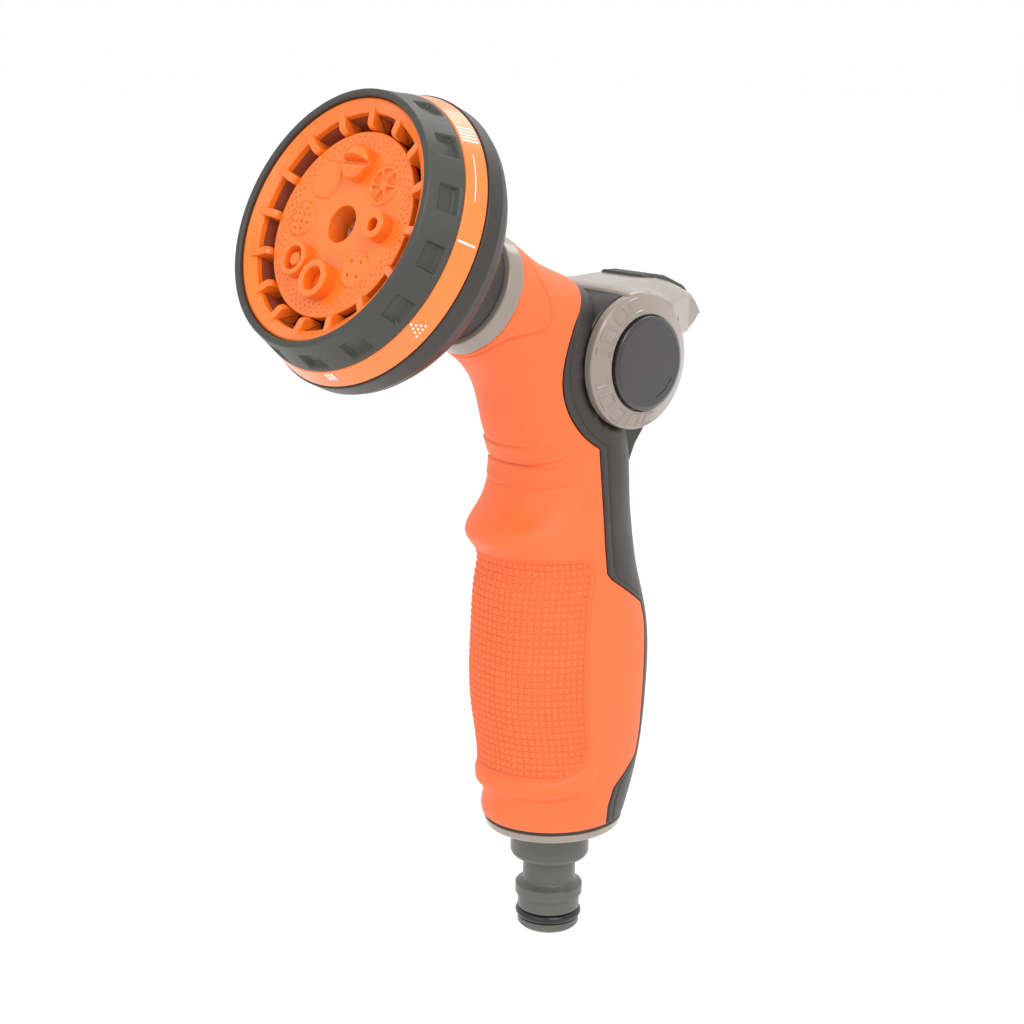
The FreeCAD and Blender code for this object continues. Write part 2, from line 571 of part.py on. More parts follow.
def make_lever():
    disc = [("shaft_radius + 0.02", "disc_inner"), ("disc_radius", "disc_inner"),
            ("disc_radius", "disc_shoulder"), ("cap_radius + 0.2", "disc_face"),
            ("cap_radius + 0.2", "cap_seat"), ("lever_screw", "cap_seat"),
            ("lever_screw", "shaft_half"), ("shaft_radius + 0.02", "shaft_half")]
    right, left = turned("disc_right", disc), turned("disc_left", disc)
    right.Placement, left.Placement = HUB_RIGHT, HUB_LEFT

    side = prism("visor_side", "YZ_Plane", VISOR_SIDE, "2 * lever_half")
    front = prism("visor_front", "XZ_Plane", VISOR_FRONT, "120")
    plan = prism("visor_plan", "XY_Plane", VISOR_PLAN, "400")
    visor = common("visor_form", common("visor_sides", side, front), plan)
    room = hub_cylinder("visor_room", "visor_inner", "disc_inner - 0.05")
    tab_room = common("tab_room", hub_cylinder("tab_room_form", "tab_inner", "disc_inner - 0.05"),
                      block("tab_box", (-20, 17.5, 130), (20, 60, 180)))
    visor = cut("visor", visor, fuse("visor_tools", room, tab_room))

    pad = prism("thumb_pad", "YZ_Plane", PAD_SIDE, "2 * pad_half")
    first_y, first_z, pitch, drop = 20.0, 168.55, 3.2, 0.16
    grooves = []
    for i in range(PAD_GROOVE_COUNT):
        groove = add("Part::Cylinder", f"pad_groove_{i}", Radius="pad_groove", Height="2 * pad_half + 2")
        end = Vector(-number("pad_half + 1"), first_y + pitch * i, first_z - drop * i * (i + 1))
        groove.Placement = Placement(end, Rotation(Vector(0, 1, 0), 90))
        grooves.append(groove)
    keep("thumb_pad", cut("thumb_pad_cut", pad, fuse("pad_grooves", *grooves)))
    keep("thumb_lever", cut("thumb_lever_cut", fuse("lever_form", right, left, visor), pad))

    cap = [("0", "cap_top - 1.6"), ("cap_radius - 1.4", "cap_top - 1.8"), ("cap_radius - 1.4", "cap_seat"),
           ("cap_radius", "cap_seat"), ("cap_radius", "cap_top - 0.9"), ("cap_radius - 0.9", "cap_top - 0.2"),
           ("0", "cap_top")]
    keep("hub_cap_right", turned("hub_cap_right", cap), HUB_RIGHT)
    keep("hub_cap_left", turned("hub_cap_left", cap), HUB_LEFT)

    screw = [
        ("0", "shaft_half - 7.5"), ("lever_screw - 0.4", "shaft_half - 7.1"),
        ("lever_screw", "shaft_half - 6.7"), ("lever_screw", "cap_seat"), ("3", "cap_seat"),
        ("2.6", "cap_seat + 1.2"), ("0", "cap_seat + 1.3")]
    screws = [turned("lever_screw_right", screw), turned("lever_screw_left", screw)]
    screws[0].Placement, screws[1].Placement = HUB_RIGHT, HUB_LEFT
    keep("lever_screws", fuse("lever_screw_pair", *screws))


# ---------------------------------------------------------------- spray head, turned parts

def make_head_shells():
    shell = turned("head_rear_shell", [
        ("bush_radius", "neck_rear"), ("neck_radius", "neck_rear"), ("neck_radius", "neck_front"),
        ("cone_radius", "cone_front"), ("band_rear_radius - 0.6", "bulge_station - 1.4"),
        ("shell_radius", "bulge_station + 0.6"), ("shell_radius", "band_rear"),
        ("drum_radius", "band_rear"), ("drum_radius", "band_front - 0.1"),
        ("drum_bore", "band_front - 0.1"), ("drum_bore", "plate_rear"), ("drum_bore - 1.2", "plate_rear"),
        ("drum_bore - 1.2", "cup_front"), ("cone_radius - 5.5", "cone_front - 0.2"),
        ("cup_radius + 1.4", "cup_rear - 0.1"), ("bush_radius", "bush_front")])
    keep("head_rear_shell", shell, HEAD)
    keep("pattern_band", turned("pattern_band", [
        ("drum_radius + 0.05", "band_rear + 0.05"), ("band_rear_radius", "band_rear + 0.05"),
        ("band_front_radius", "band_front"), ("drum_radius + 0.05", "band_front")]), HEAD)
    grip = turned("front_grip_ring", [
        ("rim_inner", "band_front + 0.05"), ("band_front_radius", "band_front + 0.05"),
        ("rim_radius", "rim"), ("rim_inner + 0.4", "rim"), ("rim_inner", "rim - 0.4")])
    notches = []
    corner = Vector(size("notch_radius"), -size("notch_width") / 2, number("band_front + 1.4"))
    for i in range(NOTCH_COUNT):
        notch = add("Part::Box", f"grip_notch_{i}", Length="3", Width="notch_width", Height="notch_length")
        turn = Rotation(Vector(0, 0, 1), 360.0 * i / NOTCH_COUNT + size("notch_angle"))
        notch.Placement = Placement(turn.multVec(corner), turn)
        notches.append(notch)
    keep("front_grip_ring", cut("grip_ring_cut", grip, fuse("grip_notches", *notches)), HEAD)

    bezel = turned("face_bezel", [
        ("bezel_radius", "band_front - 4.4"), ("bezel_radius", "rim - 1.1"),
        ("bezel_radius - 0.8", "rim - 0.9"),
        ("bezel_lip_radius", "bezel_lip"), ("bezel_lip_radius", "channel_floor"),
        ("face_radius + 0.1", "channel_floor"), ("face_radius + 0.1", "channel_floor - 1.8"),
        ("bezel_radius - 1.8", "channel_floor - 1.8"), ("bezel_radius - 1.8", "band_front - 4.4")])
    ribs = bars("bezel_ribs", "face_radius + 0.1", "bezel_radius - 0.9", "rib_thickness",
                "channel_floor - 0.5", "bezel_lip + 0.6", RIB_COUNT)
    keep("face_bezel", fuse("face_bezel_ribbed", bezel, ribs), HEAD)

    bush = turned("head_bushing", [
        ("spigot_radius + running_gap", "neck_rear"), ("bush_radius", "neck_rear"),
        ("bush_radius", "bush_front"), ("spigot_radius + running_gap", "bush_front")])
    drilled(bush, "dimples", "detent_circle", "detent_radius + 0.1", "neck_rear", "dimple_depth",
            OUTLET_COUNT, 90.0)
    keep("head_bushing", bush, HEAD)


# ---------------------------------------------------------------- spray head, inside

def make_head_inside():
    """The fixed port disc, its sprung seal, and the turning chambers in front of it."""
    hollow_rear, hollow_front = "cup_rear + 1.3", "cup_front - 1.8"
    disc = turned("port_disc", [
        ("spigot_radius + 0.02", "bush_front + 0.3"), ("spigot_radius + 2.3", "bush_front + 0.3"),
        ("spigot_radius + 2.3", "cup_rear"), ("cup_radius", "cup_rear"), ("cup_radius", "cup_front"),
        ("post_radius", "cup_front"), ("post_radius", "post_front"), ("screw_hole", "post_front"),
        ("screw_hole", "bush_front - 0.5"), ("post_radius - 0.4", "bush_front - 0.5"),
        ("post_radius - 0.4", hollow_front), ("cup_radius - 1.5", hollow_front),
        ("cup_radius - 1.5", hollow_rear), ("spigot_radius + 0.02", hollow_rear)])
    bossed(disc, "port_boss", "port_circle", "boss_radius", "cup_front - 0.5", "boss_front - cup_front + 0.5",
           1, 90.0)
    drilled(disc, "port_pocket", "port_circle", "boss_radius - 1", "cup_front - 0.4", "10", 1, 90.0)
    drilled(disc, "port_hole", "port_circle", "2.6", hollow_front, "4", 1, 90.0)
    keep("port_disc", disc, HEAD)

    seat = number("port_circle")
    seal = turned("port_seal", [
        ("2.4", "boss_front - 1.6"), ("boss_radius - 1.05", "boss_front - 1.6"),
        ("boss_radius - 1.05", "seal_front"), ("2.4", "seal_front")])
    keep("port_seal", seal, up_head(0, seat, 0))
    spring_low, spring_high = number("cup_front - 0.4"), number("boss_front - 1.6")
    wire = 0.28
    keep("seal_spring", coil("seal_spring_coil", 3.5, 0.8, spring_high - spring_low - 2 * wire - 0.02, wire,
                             up_head(0, seat, spring_low + wire + 0.01)))

    plate = turned("chamber_plate", [
        ("post_radius + running_gap", "plate_rear"), ("drum_bore - 0.1", "plate_rear"),
        ("drum_bore - 0.1", "plate_front"), ("chamber_radius", "plate_front"),
        ("chamber_radius", "chamber_front"), ("chamber_radius - 1.4", "chamber_front"),
        ("chamber_radius - 1.4", "plate_front"), ("hub_ring + 1.4", "plate_front"),
        ("hub_ring + 1.4", "chamber_front"), ("hub_ring", "chamber_front"),
        ("hub_ring", "plate_front + 0.7"), ("post_radius + running_gap", "plate_front + 0.7")])
    drilled(plate, "chamber_ports", "port_circle", "2.6", "plate_rear", "plate_front - plate_rear",
            OUTLET_COUNT, 90.0)
    walls = bars("chamber_walls", "hub_ring + 1", "chamber_radius - 1", "1.2", "plate_front - 0.5",
                 "chamber_front", OUTLET_COUNT)
    walls.Placement = Placement(Vector(), Rotation(Vector(0, 0, 1), 180.0 / OUTLET_COUNT))
    keep("chamber_plate", fuse("chamber_plate_walled", plate, walls), HEAD)
    keep("plate_gasket", turned("plate_gasket", [
        ("chamber_radius - 1.6", "chamber_front + 0.02"), ("chamber_radius", "chamber_front + 0.02"),
        ("chamber_radius", "face_rear - 0.02"), ("chamber_radius - 1.6", "face_rear - 0.02")]), HEAD)

    keep("screw_washer", turned("screw_washer", [
        ("screw_hole + 0.2", "post_front"), ("hub_ring - 0.5", "post_front"),
        ("hub_ring - 0.5", "post_front + 0.8"), ("screw_hole + 0.2", "post_front + 0.8")]), HEAD)
    screw = turned("head_screw", [
        ("0", "bush_front + 1"), ("screw_hole - 0.5", "bush_front + 1.3"), ("screw_hole", "bush_front + 2"),
        ("screw_hole", "post_front + 0.8"), ("3.4", "post_front + 0.8"), ("3.4", "post_front + 4.1"),
        ("2.4", "post_front + 5.1"), ("0", "post_front + 5.3")])
    slots = bars("screw_cross", "0", "1.9", "0.7", "post_front + 4.1", "post_front + 6", 4)
    keep("head_screw", cut("head_screw_cut", screw, slots), HEAD)


# ---------------------------------------------------------------- spray face

OUTLETS = {"fan": 90.0, "wheel": 45.0, "jet": 0.0, "shower": -45.0, "cone": -90.0, "swirl": -135.0,
           "mist": 180.0, "flat": 135.0}


def outlet_middle(kind):
    """The outlet's middle in the head's own frame, at station 0."""
    return Rotation(Vector(0, 0, 1), OUTLETS[kind]).multVec(Vector(size("outlet_circle"), 0, 0))


def at_outlet(kind):
    """A placement on the head's axis direction, through an outlet's middle."""
    return HEAD * Placement(outlet_middle(kind), Rotation())


def ring_of_drills(name, middle, circle, radius, count):
    """Drills through the face plate, evenly spaced on a circle about a middle."""
    drills = []
    for i in range(count):
        angle = 2 * math.pi * (i + 0.5) / count
        foot = middle + Vector(circle * math.cos(angle), circle * math.sin(angle), size("face_rear") - 1)
        drill = doc.addObject("Part::Cylinder", name)
        drill.Radius, drill.Height = radius, 6
        drill.Placement = Placement(foot, Rotation())
        drills.append(drill)
    return drills


def nozzle(kind, points):
    return keep(kind + "_nozzle", turned(kind + "_nozzle", points), at_outlet(kind))


def make_plate():
    """The face plate, with its low domes, its spray holes and a seat for each nozzle."""
    plate = turned("spray_plate", [
        ("centre_hole", "face_rear - 4"), ("hub_ring - 0.1", "face_rear - 4"), ("hub_ring - 0.1", "face_rear"),
        ("face_radius", "face_rear"), ("face_radius", "face"), ("centre_hole", "face")])
    circle = "outlet_circle"
    for kind, radius in (("fan", "4.1"), ("jet", "2.4"), ("cone", "3.9"), ("swirl", "3.4")):
        drilled(plate, kind + "_seat", circle, radius, "face_rear", "3", 1, OUTLETS[kind])
    for kind, radius, height in (("shower", "4.3", "0.5"), ("mist", "4.2", "0.9"), ("flat", "4.4", "0.5"),
                                 ("wheel", "4.6", "0.3")):
        bossed(plate, kind + "_dome", circle, radius, "face - 0.2", f"{height} + 0.2", 1, OUTLETS[kind])
    tools = []
    for kind, radius, ring, count in (("shower", 0.45, 2.2, 4), ("mist", 0.35, 2.6, 8), ("mist", 0.35, 1.2, 4),
                                      ("wheel", 0.85, 2.6, 6), ("flat", 0.4, 0.0, 1)):
        tools += ring_of_drills(kind + "_drill", outlet_middle(kind), ring, radius, count)
    tools += ring_of_drills("edge_drill", Vector(), size("edge_hole_circle"), size("edge_hole"),
                            EDGE_HOLE_COUNT)
    keep("spray_plate", cut("spray_plate_drilled", plate, fuse("face_drills", *tools)), HEAD)


def make_nozzles():
    """The four raised nozzles: a fan with a V slot, a jet, a cone and a swirl."""
    fan = turned("fan_body", [
        ("0.9", "face_rear - 0.4"), ("4.05", "face_rear - 0.4"), ("4.05", "face + 1.6"), ("3.4", "face + 3"),
        ("1.8", "face + 3.9"), ("0", "face + 4.1"), ("0", "face + 2.2"), ("0.9", "face + 1.8")])
    wedge = add("Part::Wedge", "fan_slot", Xmin="-6", Ymin="0", Zmin="-0.2", X2min="-6", Z2min="-1.8",
                Xmax="6", Ymax="3.4", Zmax="0.2", X2max="6", Z2max="1.8")
    wedge.Placement = Placement(Vector(0, 0, size("face") + 1.6), Rotation(Vector(1, 0, 0), 90))
    keep("fan_nozzle", cut("fan_nozzle_cut", fan, wedge), at_outlet("fan"))
    nozzle("jet", [
        ("1.2", "face_rear - 0.4"), ("2.35", "face_rear - 0.4"), ("2.35", "face"), ("2.9", "face + 0.05"),
        ("2.9", "face + 2.6"), ("2.5", "face + 3"), ("1.2", "face + 3")])
    nozzle("cone", [
        ("2.6", "face_rear - 0.4"), ("3.85", "face_rear - 0.4"), ("3.85", "face"), ("4.35", "face + 0.05"),
        ("4.35", "face + 2.7"), ("3.9", "face + 3.1"), ("2.9", "face + 3.1")])
    swirl = turned("swirl_body", [
        ("0", "face_rear - 0.4"), ("3.35", "face_rear - 0.4"), ("3.35", "face"), ("4.0", "face + 0.05"),
        ("4.0", "face + 2"), ("3.6", "face + 2.4"), ("2.7", "face + 2.4"), ("2.7", "face"),
        ("1.6", "face"), ("1.6", "face + 1.6"), ("0", "face + 1.8")])
    drilled(swirl, "swirl_holes", "2.15", "0.4", "face_rear - 0.4", "4", 4)
    keep("swirl_nozzle", swirl, at_outlet("swirl"))


# ---------------------------------------------------------------- detent

def make_detent():
    circle = number("detent_circle")
    keep("detent_plunger", turned("detent_plunger", [
        ("0", "detent_rear"), ("detent_radius", "detent_rear"), ("detent_radius", "detent_tip - 0.6"),
        ("detent_radius - 0.6", "detent_tip"), ("0", "detent_tip")]), up_head(0, circle, 0))
    # A short waisted sleeve of hard rubber does the spring's work.
    keep("detent_spring", turned("detent_spring", [
        ("0.4", "detent_floor + 0.02"), ("detent_radius - 0.1", "detent_floor + 0.02"),
        ("detent_radius - 0.45", "detent_floor + 0.58"), ("detent_radius - 0.1", "detent_rear - 0.34"),
        ("0.4", "detent_rear - 0.34")]), up_head(0, circle, 0))


def check_and_export():
    """Stop on any failed object or bad shape, then write one file for each sub-part."""
    doc.recompute()
    for thing in doc.Objects:
        if {"Invalid", "Error"} & set(thing.State):
            raise RuntimeError(f"{thing.Name} failed: {thing.State}")
    for name, thing in nodes.items():
        shape = thing.Shape
        if shape.isNull() or not shape.isValid() or not shape.Solids:
            raise RuntimeError(f"{name} has no valid solid")
    os.makedirs("parts", exist_ok=True)
    for name, thing in nodes.items():
        thing.Shape.exportStep(f"parts/{name}.step")
        box = thing.Shape.BoundBox
        print(f"{name}: {len(thing.Shape.Solids)} solids, {thing.Shape.Volume:.0f} mm3, "
              f"z {box.ZMin:.1f} to {box.ZMax:.1f}")


make_handle()
make_collars()
make_connector()
make_water_way()
make_valve()
make_lever()
make_head_shells()
make_head_inside()
make_plate()
make_nozzles()
make_detent()
check_and_export()
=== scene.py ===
"""Looks for a hose spray nozzle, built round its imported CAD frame.

Lengths are millimetres until a mesh is made. The axes are the frame's own: +Z runs up the hose spigot, the
water leaves towards -Y and a little up, and the nozzle is symmetric about X = 0.
"""
import json
import math

import bmesh
import bpy
import numpy as np
from mathutils import Matrix, Vector


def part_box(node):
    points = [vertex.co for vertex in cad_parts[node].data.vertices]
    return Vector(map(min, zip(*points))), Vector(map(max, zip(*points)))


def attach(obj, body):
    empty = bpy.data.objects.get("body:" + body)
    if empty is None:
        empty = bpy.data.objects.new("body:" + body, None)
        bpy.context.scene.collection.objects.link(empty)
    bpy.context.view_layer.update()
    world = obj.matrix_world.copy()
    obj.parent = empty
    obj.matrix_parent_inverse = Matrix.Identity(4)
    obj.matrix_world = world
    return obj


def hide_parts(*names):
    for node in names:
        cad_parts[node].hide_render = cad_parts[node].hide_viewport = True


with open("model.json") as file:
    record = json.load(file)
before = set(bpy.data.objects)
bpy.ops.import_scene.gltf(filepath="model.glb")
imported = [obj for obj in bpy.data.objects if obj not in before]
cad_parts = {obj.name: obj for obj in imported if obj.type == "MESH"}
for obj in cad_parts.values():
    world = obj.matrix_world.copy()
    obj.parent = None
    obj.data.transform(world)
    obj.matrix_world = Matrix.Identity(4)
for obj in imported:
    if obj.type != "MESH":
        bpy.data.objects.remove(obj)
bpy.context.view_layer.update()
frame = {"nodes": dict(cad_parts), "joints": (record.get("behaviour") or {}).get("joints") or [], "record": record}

MM = 0.001
MERGE = 1e-6

JOINTS = {joint["name"]: joint for joint in frame["joints"]}
HUB = np.array(JOINTS["lever_swing"]["pos_m"]) / MM
SPRAY = np.array(JOINTS["head_turn"]["axis"])


# ---------------------------------------------------------------- places

def place(origin, across, axis):
    """A frame whose Z is the axis and whose X is the across direction, as a 4 x 4 matrix."""
    made = np.eye(4)
    made[:3, 0] = across
    made[:3, 1] = np.cross(axis, across)
    made[:3, 2] = axis
    made[:3, 3] = origin
    return made


def moved(points, where):
    return np.asarray(points) @ where[:3, :3].T + where[:3, 3]


UPRIGHT = np.eye(4)
HEAD = place(HUB, (1, 0, 0), SPRAY)
HUB_RIGHT = place(HUB, (0, 1, 0), (1, 0, 0))
HUB_LEFT = np.diag([-1.0, 1, 1, 1]) @ HUB_RIGHT


# The circle that the outlets stand on, and each outlet's angle round it: 0 is +X and 90 is up.
OUTLET_CIRCLE = 13.5
OUTLETS = {
    "fan": 90, "wheel": 45, "jet": 0, "shower": -45, "cone": -90, "swirl": -135, "mist": 180, "flat": 135,
}


def outlet_centre(kind):
    turn = math.radians(OUTLETS[kind])
    return OUTLET_CIRCLE * math.cos(turn), OUTLET_CIRCLE * math.sin(turn)


def on_face(kind):
    """The place of an outlet on the spray face."""
    origin = moved([[*outlet_centre(kind), 0]], HEAD)[0]
    return place(origin, (1, 0, 0), SPRAY)


# ---------------------------------------------------------------- looks

# Sizes of the noise that varies the colour and the gloss.
MOTTLE_SIZE, GLOSS_SIZE = 14, 5
GLOSS_SPREAD = 0.06
# Pointiness at which the paler wear and the painted shade in hollows start, and at which they are full.
WORN, HOLLOW_SHADE = (0.52, 0.6), (0.485, 0.42)
GRAIN_STRENGTH = 0.6
COAT_ROUGHNESS = 0.08
# How far red, green and blue light go inside the soft materials, in metres, and the scale of it.
SCATTER, SCATTER_SCALE = (0.004, 0.0012, 0.0005), 0.4


def linear(colour):
    """An sRGB colour of 0 to 255 as linear light."""
    parts = [c / 255 for c in colour]
    return tuple(c / 12.92 if c <= 0.04045 else ((c + 0.055) / 1.055) ** 2.4 for c in parts) + (1.0,)


def shade(colour, factor):
    return tuple(min(1.0, c * factor) for c in colour[:3]) + (1.0,)


def noise(tree, size, detail):
    """A noise fixed to the object, with features of this size."""
    node = tree.nodes.new("ShaderNodeTexNoise")
    node.inputs["Scale"].default_value = 1 / (size * MM)
    node.inputs["Detail"].default_value = detail
    tree.links.new(tree.nodes.new("ShaderNodeTexCoord").outputs["Object"], node.inputs["Vector"])
    return node.outputs["Fac"]


def by_pointiness(tree, colour, other, first, last):
    """The colour, changed into another as the surface's pointiness goes from first to last."""
    blend = tree.nodes.new("ShaderNodeMix")
    blend.data_type = "RGBA"
    blend.inputs["B"].default_value = other
    ramp = tree.nodes.new("ShaderNodeMapRange")
    ramp.inputs["From Min"].default_value = first
    ramp.inputs["From Max"].default_value = last
    tree.links.new(tree.nodes.new("ShaderNodeNewGeometry").outputs["Pointiness"], ramp.inputs["Value"])
    tree.links.new(ramp.outputs["Result"], blend.inputs["Factor"])
    tree.links.new(colour, blend.inputs["A"])
    return blend.outputs["Result"]


def mottled(tree, base, mottle, wear, painted_shade):
    """The base colour with mottling, paler on worn sharp edges and with painted shade darkening the hollows."""
    tint = tree.nodes.new("ShaderNodeMix")
    tint.data_type = "RGBA"
    tint.inputs["A"].default_value = shade(base, 1 - mottle)
    tint.inputs["B"].default_value = shade(base, 1 + mottle)
    tree.links.new(noise(tree, MOTTLE_SIZE, 3), tint.inputs["Factor"])
    colour = tint.outputs["Result"]
    # The first pass pales worn edges; the second darkens the hollows with painted shade.
    for share, limits in ((wear, WORN), (-painted_shade, HOLLOW_SHADE)):
        if share:
            colour = by_pointiness(tree, colour, shade(base, 1 + share), *limits)
    return colour


def uneven(tree, roughness):
    """A roughness that varies a little over the surface."""
    spread = tree.nodes.new("ShaderNodeMapRange")
    spread.inputs["To Min"].default_value = roughness - GLOSS_SPREAD
    spread.inputs["To Max"].default_value = roughness + GLOSS_SPREAD
    tree.links.new(noise(tree, GLOSS_SIZE, 4), spread.inputs["Value"])
    return spread.outputs["Result"]


def grained(tree, grain, grain_depth, edge):
    """A normal with a fine grain, and with sharp edges rounded to the radius edge."""
    bump = tree.nodes.new("ShaderNodeBump")
    bump.inputs["Strength"].default_value = GRAIN_STRENGTH
    bump.inputs["Distance"].default_value = grain_depth * MM
    tree.links.new(noise(tree, grain, 2), bump.inputs["Height"])
    if edge:
        rounding = tree.nodes.new("ShaderNodeBevel")
        rounding.samples = 4
        rounding.inputs["Radius"].default_value = edge * MM
        tree.links.new(rounding.outputs["Normal"], bump.inputs["Normal"])
    return bump.outputs["Normal"]


def look(name, colour, roughness, grain=0.12, grain_depth=0.01, mottle=0.06, coat=0.0, edge=0.0, wear=0.0,
         soft=0.0, metallic=0.0, painted_shade=0.0):
    """A moulded material: mottled colour, uneven gloss, a fine grain, paler worn edges and painted shade in the
    hollows.
    """
    made = bpy.data.materials.new(name)
    made.use_nodes = True
    tree = made.node_tree
    shader = tree.nodes["Principled BSDF"]
    tree.links.new(mottled(tree, linear(colour), mottle, wear, painted_shade), shader.inputs["Base Color"])
    tree.links.new(uneven(tree, roughness), shader.inputs["Roughness"])
    tree.links.new(grained(tree, grain, grain_depth, edge), shader.inputs["Normal"])
    shader.inputs["Coat Weight"].default_value = coat
    shader.inputs["Coat Roughness"].default_value = COAT_ROUGHNESS
    shader.inputs["Subsurface Weight"].default_value = soft
    shader.inputs["Subsurface Radius"].default_value = SCATTER
    shader.inputs["Subsurface Scale"].default_value = SCATTER_SCALE
    shader.inputs["Metallic"].default_value = metallic
    return made


# The last share given to these two looks darkens their grooves and hollows with painted shade.
SOFT_ORANGE = look("soft_orange", (243, 106, 48), 0.52, grain=0.16, grain_depth=0.012, mottle=0.04, soft=0.12,
                   wear=0.1, painted_shade=0.4)
ORANGE = look("orange_plastic", (240, 116, 30), 0.3, grain=0.3, grain_depth=0.004, mottle=0.05, coat=0.15,
              soft=0.08, painted_shade=0.35)
BAND_ORANGE = look("band_orange", (241, 124, 52), 0.26, grain=0.3, grain_depth=0.004, mottle=0.03, coat=0.2)
DARK = look("dark_plastic", (46, 40, 37), 0.42, grain=0.2, grain_depth=0.012, mottle=0.12, wear=0.5)
RUBBER = look("dark_rubber", (56, 55, 50), 0.48, grain=0.12, grain_depth=0.02, mottle=0.14, wear=0.35)
LIGHT_GREY = look("light_grey", (144, 132, 121), 0.24, grain=0.5, grain_depth=0.004, mottle=0.04, coat=0.4,
                  wear=0.2)
CAP = look("cap_dark", (42, 39, 38), 0.14, grain=0.6, grain_depth=0.003, mottle=0.08, coat=0.6)
ADAPTOR = look("adaptor_grey", (84, 85, 79), 0.34, grain=0.2, grain_depth=0.01, mottle=0.08, wear=0.25)
BLACK_RUBBER = look("black_rubber", (22, 22, 22), 0.28, grain=0.2, grain_depth=0.008, mottle=0.1)
NATURAL = look("inner_plastic", (215, 213, 205), 0.35, mottle=0.03, edge=0.15)
STEEL = look("steel", (200, 198, 194), 0.22, grain=0.1, grain_depth=0.01, mottle=0.08, edge=0.15,
             metallic=1.0)
PRINT = look("white_print", (250, 246, 238), 0.35, grain=0.1, grain_depth=0.004, mottle=0.02)
# A dark brown painted shade for the deep orange floor of the head's windows, which lies in shadow.
CHAMBER_SHADE = look("chamber_painted_shade", (128, 46, 8), 0.85, mottle=0.1)

SLOT_LOOKS = {
    "soft_orange": SOFT_ORANGE, "orange_plastic": ORANGE, "band_orange": BAND_ORANGE, "dark_plastic": DARK,
    "dark_rubber": RUBBER, "light_grey": LIGHT_GREY, "cap_dark": CAP, "adaptor_grey": ADAPTOR,
    "black_rubber": BLACK_RUBBER, "inner_plastic": NATURAL, "steel": STEEL,
}
for part in frame["record"]["subparts"]:
    carried = frame["nodes"][part["node"]]
    carried.data.materials.clear()
    carried.data.materials.append(SLOT_LOOKS[part["material_slot"]])
# The chamber plate takes the dark brown painted shade in place of its slot's look.
frame["nodes"]["chamber_plate"].data.materials[0] = CHAMBER_SHADE


# ---------------------------------------------------------------- mesh tools

def piece(name, shapes, body, finish, stands_for=()):
    """A mesh object made of closed shapes, each a pair of points and faces."""
    points, faces, start = [], [], 0
    for shape_points, shape_faces in shapes:
        points.append(np.asarray(shape_points))
        faces += [[start + i for i in face] for face in shape_faces]
        start += len(shape_points)
    mesh = bpy.data.meshes.new(name)
    mesh.from_pydata((np.concatenate(points) * MM).tolist(), [], faces)
    work = bmesh.new()
    work.from_mesh(mesh)
    bmesh.ops.remove_doubles(work, verts=work.verts, dist=MERGE)
    bmesh.ops.recalc_face_normals(work, faces=work.faces)
    work.to_mesh(mesh)
    work.free()
    mesh.shade_smooth()
    mesh.materials.append(finish)
    made = bpy.data.objects.new(name, mesh)
    bpy.context.scene.collection.objects.link(made)
    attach(made, body)
    if stands_for:
        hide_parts(*stands_for)
    return made


def flattened(made):
    """Keeps broad faces flat beside their rounded edges."""
    modifier = made.modifiers.new("flat_faces", "WEIGHTED_NORMAL")
    modifier.weight = 50
    return made


def grid_faces(rows, columns, close_rows=False, close_columns=False):
    """Quads over a grid of points held row by row."""
    row = np.arange(rows if close_rows else rows - 1)
    column = np.arange(columns if close_columns else columns - 1)
    row, column = [side.ravel() for side in np.meshgrid(row, column, indexing="ij")]
    right = (column + 1) % columns
    here, below = row * columns, (row + 1) % rows * columns
    return np.stack((here + column, here + right, below + right, below + column), 1).tolist()


# The most of a side that one corner's arc takes.
ARC_SHARE = 0.45


def rounded(outline, steps=4):
    """A closed outline of (x, y, radius) corners, each turned into an arc; the radius may be left out."""
    corners = [(*corner, 0.0)[:3] for corner in outline]
    made = []
    for i, (x, y, radius) in enumerate(corners):
        here = np.array([x, y], float)
        if not radius:
            made.append(here)
            continue
        before = np.array(corners[i - 1][:2]) - here
        after = np.array(corners[(i + 1) % len(corners)][:2]) - here
        lengths = np.linalg.norm(before), np.linalg.norm(after)
        before, after = before / lengths[0], after / lengths[1]
        half = math.acos(max(-1.0, min(1.0, float(before @ after)))) / 2
        reach = min(radius / math.tan(half), ARC_SHARE * lengths[0], ARC_SHARE * lengths[1])
        for t in np.linspace(0, 1, steps + 1):
            made.append(here + before * reach * (1 - t) ** 2 + after * reach * t ** 2)
    return np.array(made)


def divided(outline, step):
    """The closed outline with its long sides divided, so that a relief has points to move."""
    made = []
    for i, here in enumerate(outline):
        there = outline[(i + 1) % len(outline)]
        count = max(1, int(math.ceil(np.linalg.norm(there - here) / step)))
        made += [here + (there - here) * k / count for k in range(count)]
    return np.array(made)


def turned(outline, where, count=192, relief=None):
    """A closed (radius, station) outline revolved about the place's Z axis. A relief moves its points."""
    angle = (np.arange(count) * 2 * math.pi / count)[:, None]
    radius = np.repeat(outline[None, :, 0], count, 0)
    station = np.repeat(outline[None, :, 1], count, 0)
    if relief:
        radius, station = relief(np.repeat(angle, len(outline), 1), radius, station)
    points = np.stack([radius * np.cos(angle), radius * np.sin(angle), station], -1).reshape(-1, 3)
    return moved(points, where), grid_faces(count, len(outline), True, True)


def step_up(value, start, end):
    """0 below start, 1 above end, and smooth between."""
    t = np.clip((value - start) / (end - start), 0, 1)
    return t * t * (3 - 2 * t)


def bump_between(value, low, high, soft):
    """1 between low and high, with soft sides."""
    rise = step_up(value, low - soft / 2, low + soft / 2)
    return rise * (1 - step_up(value, high - soft / 2, high + soft / 2))


def around(angle, count, offset=0.0):
    """The angle from the nearest of count places spaced evenly round a circle."""
    pitch = 2 * math.pi / count
    return (angle - offset + pitch / 2) % pitch - pitch / 2


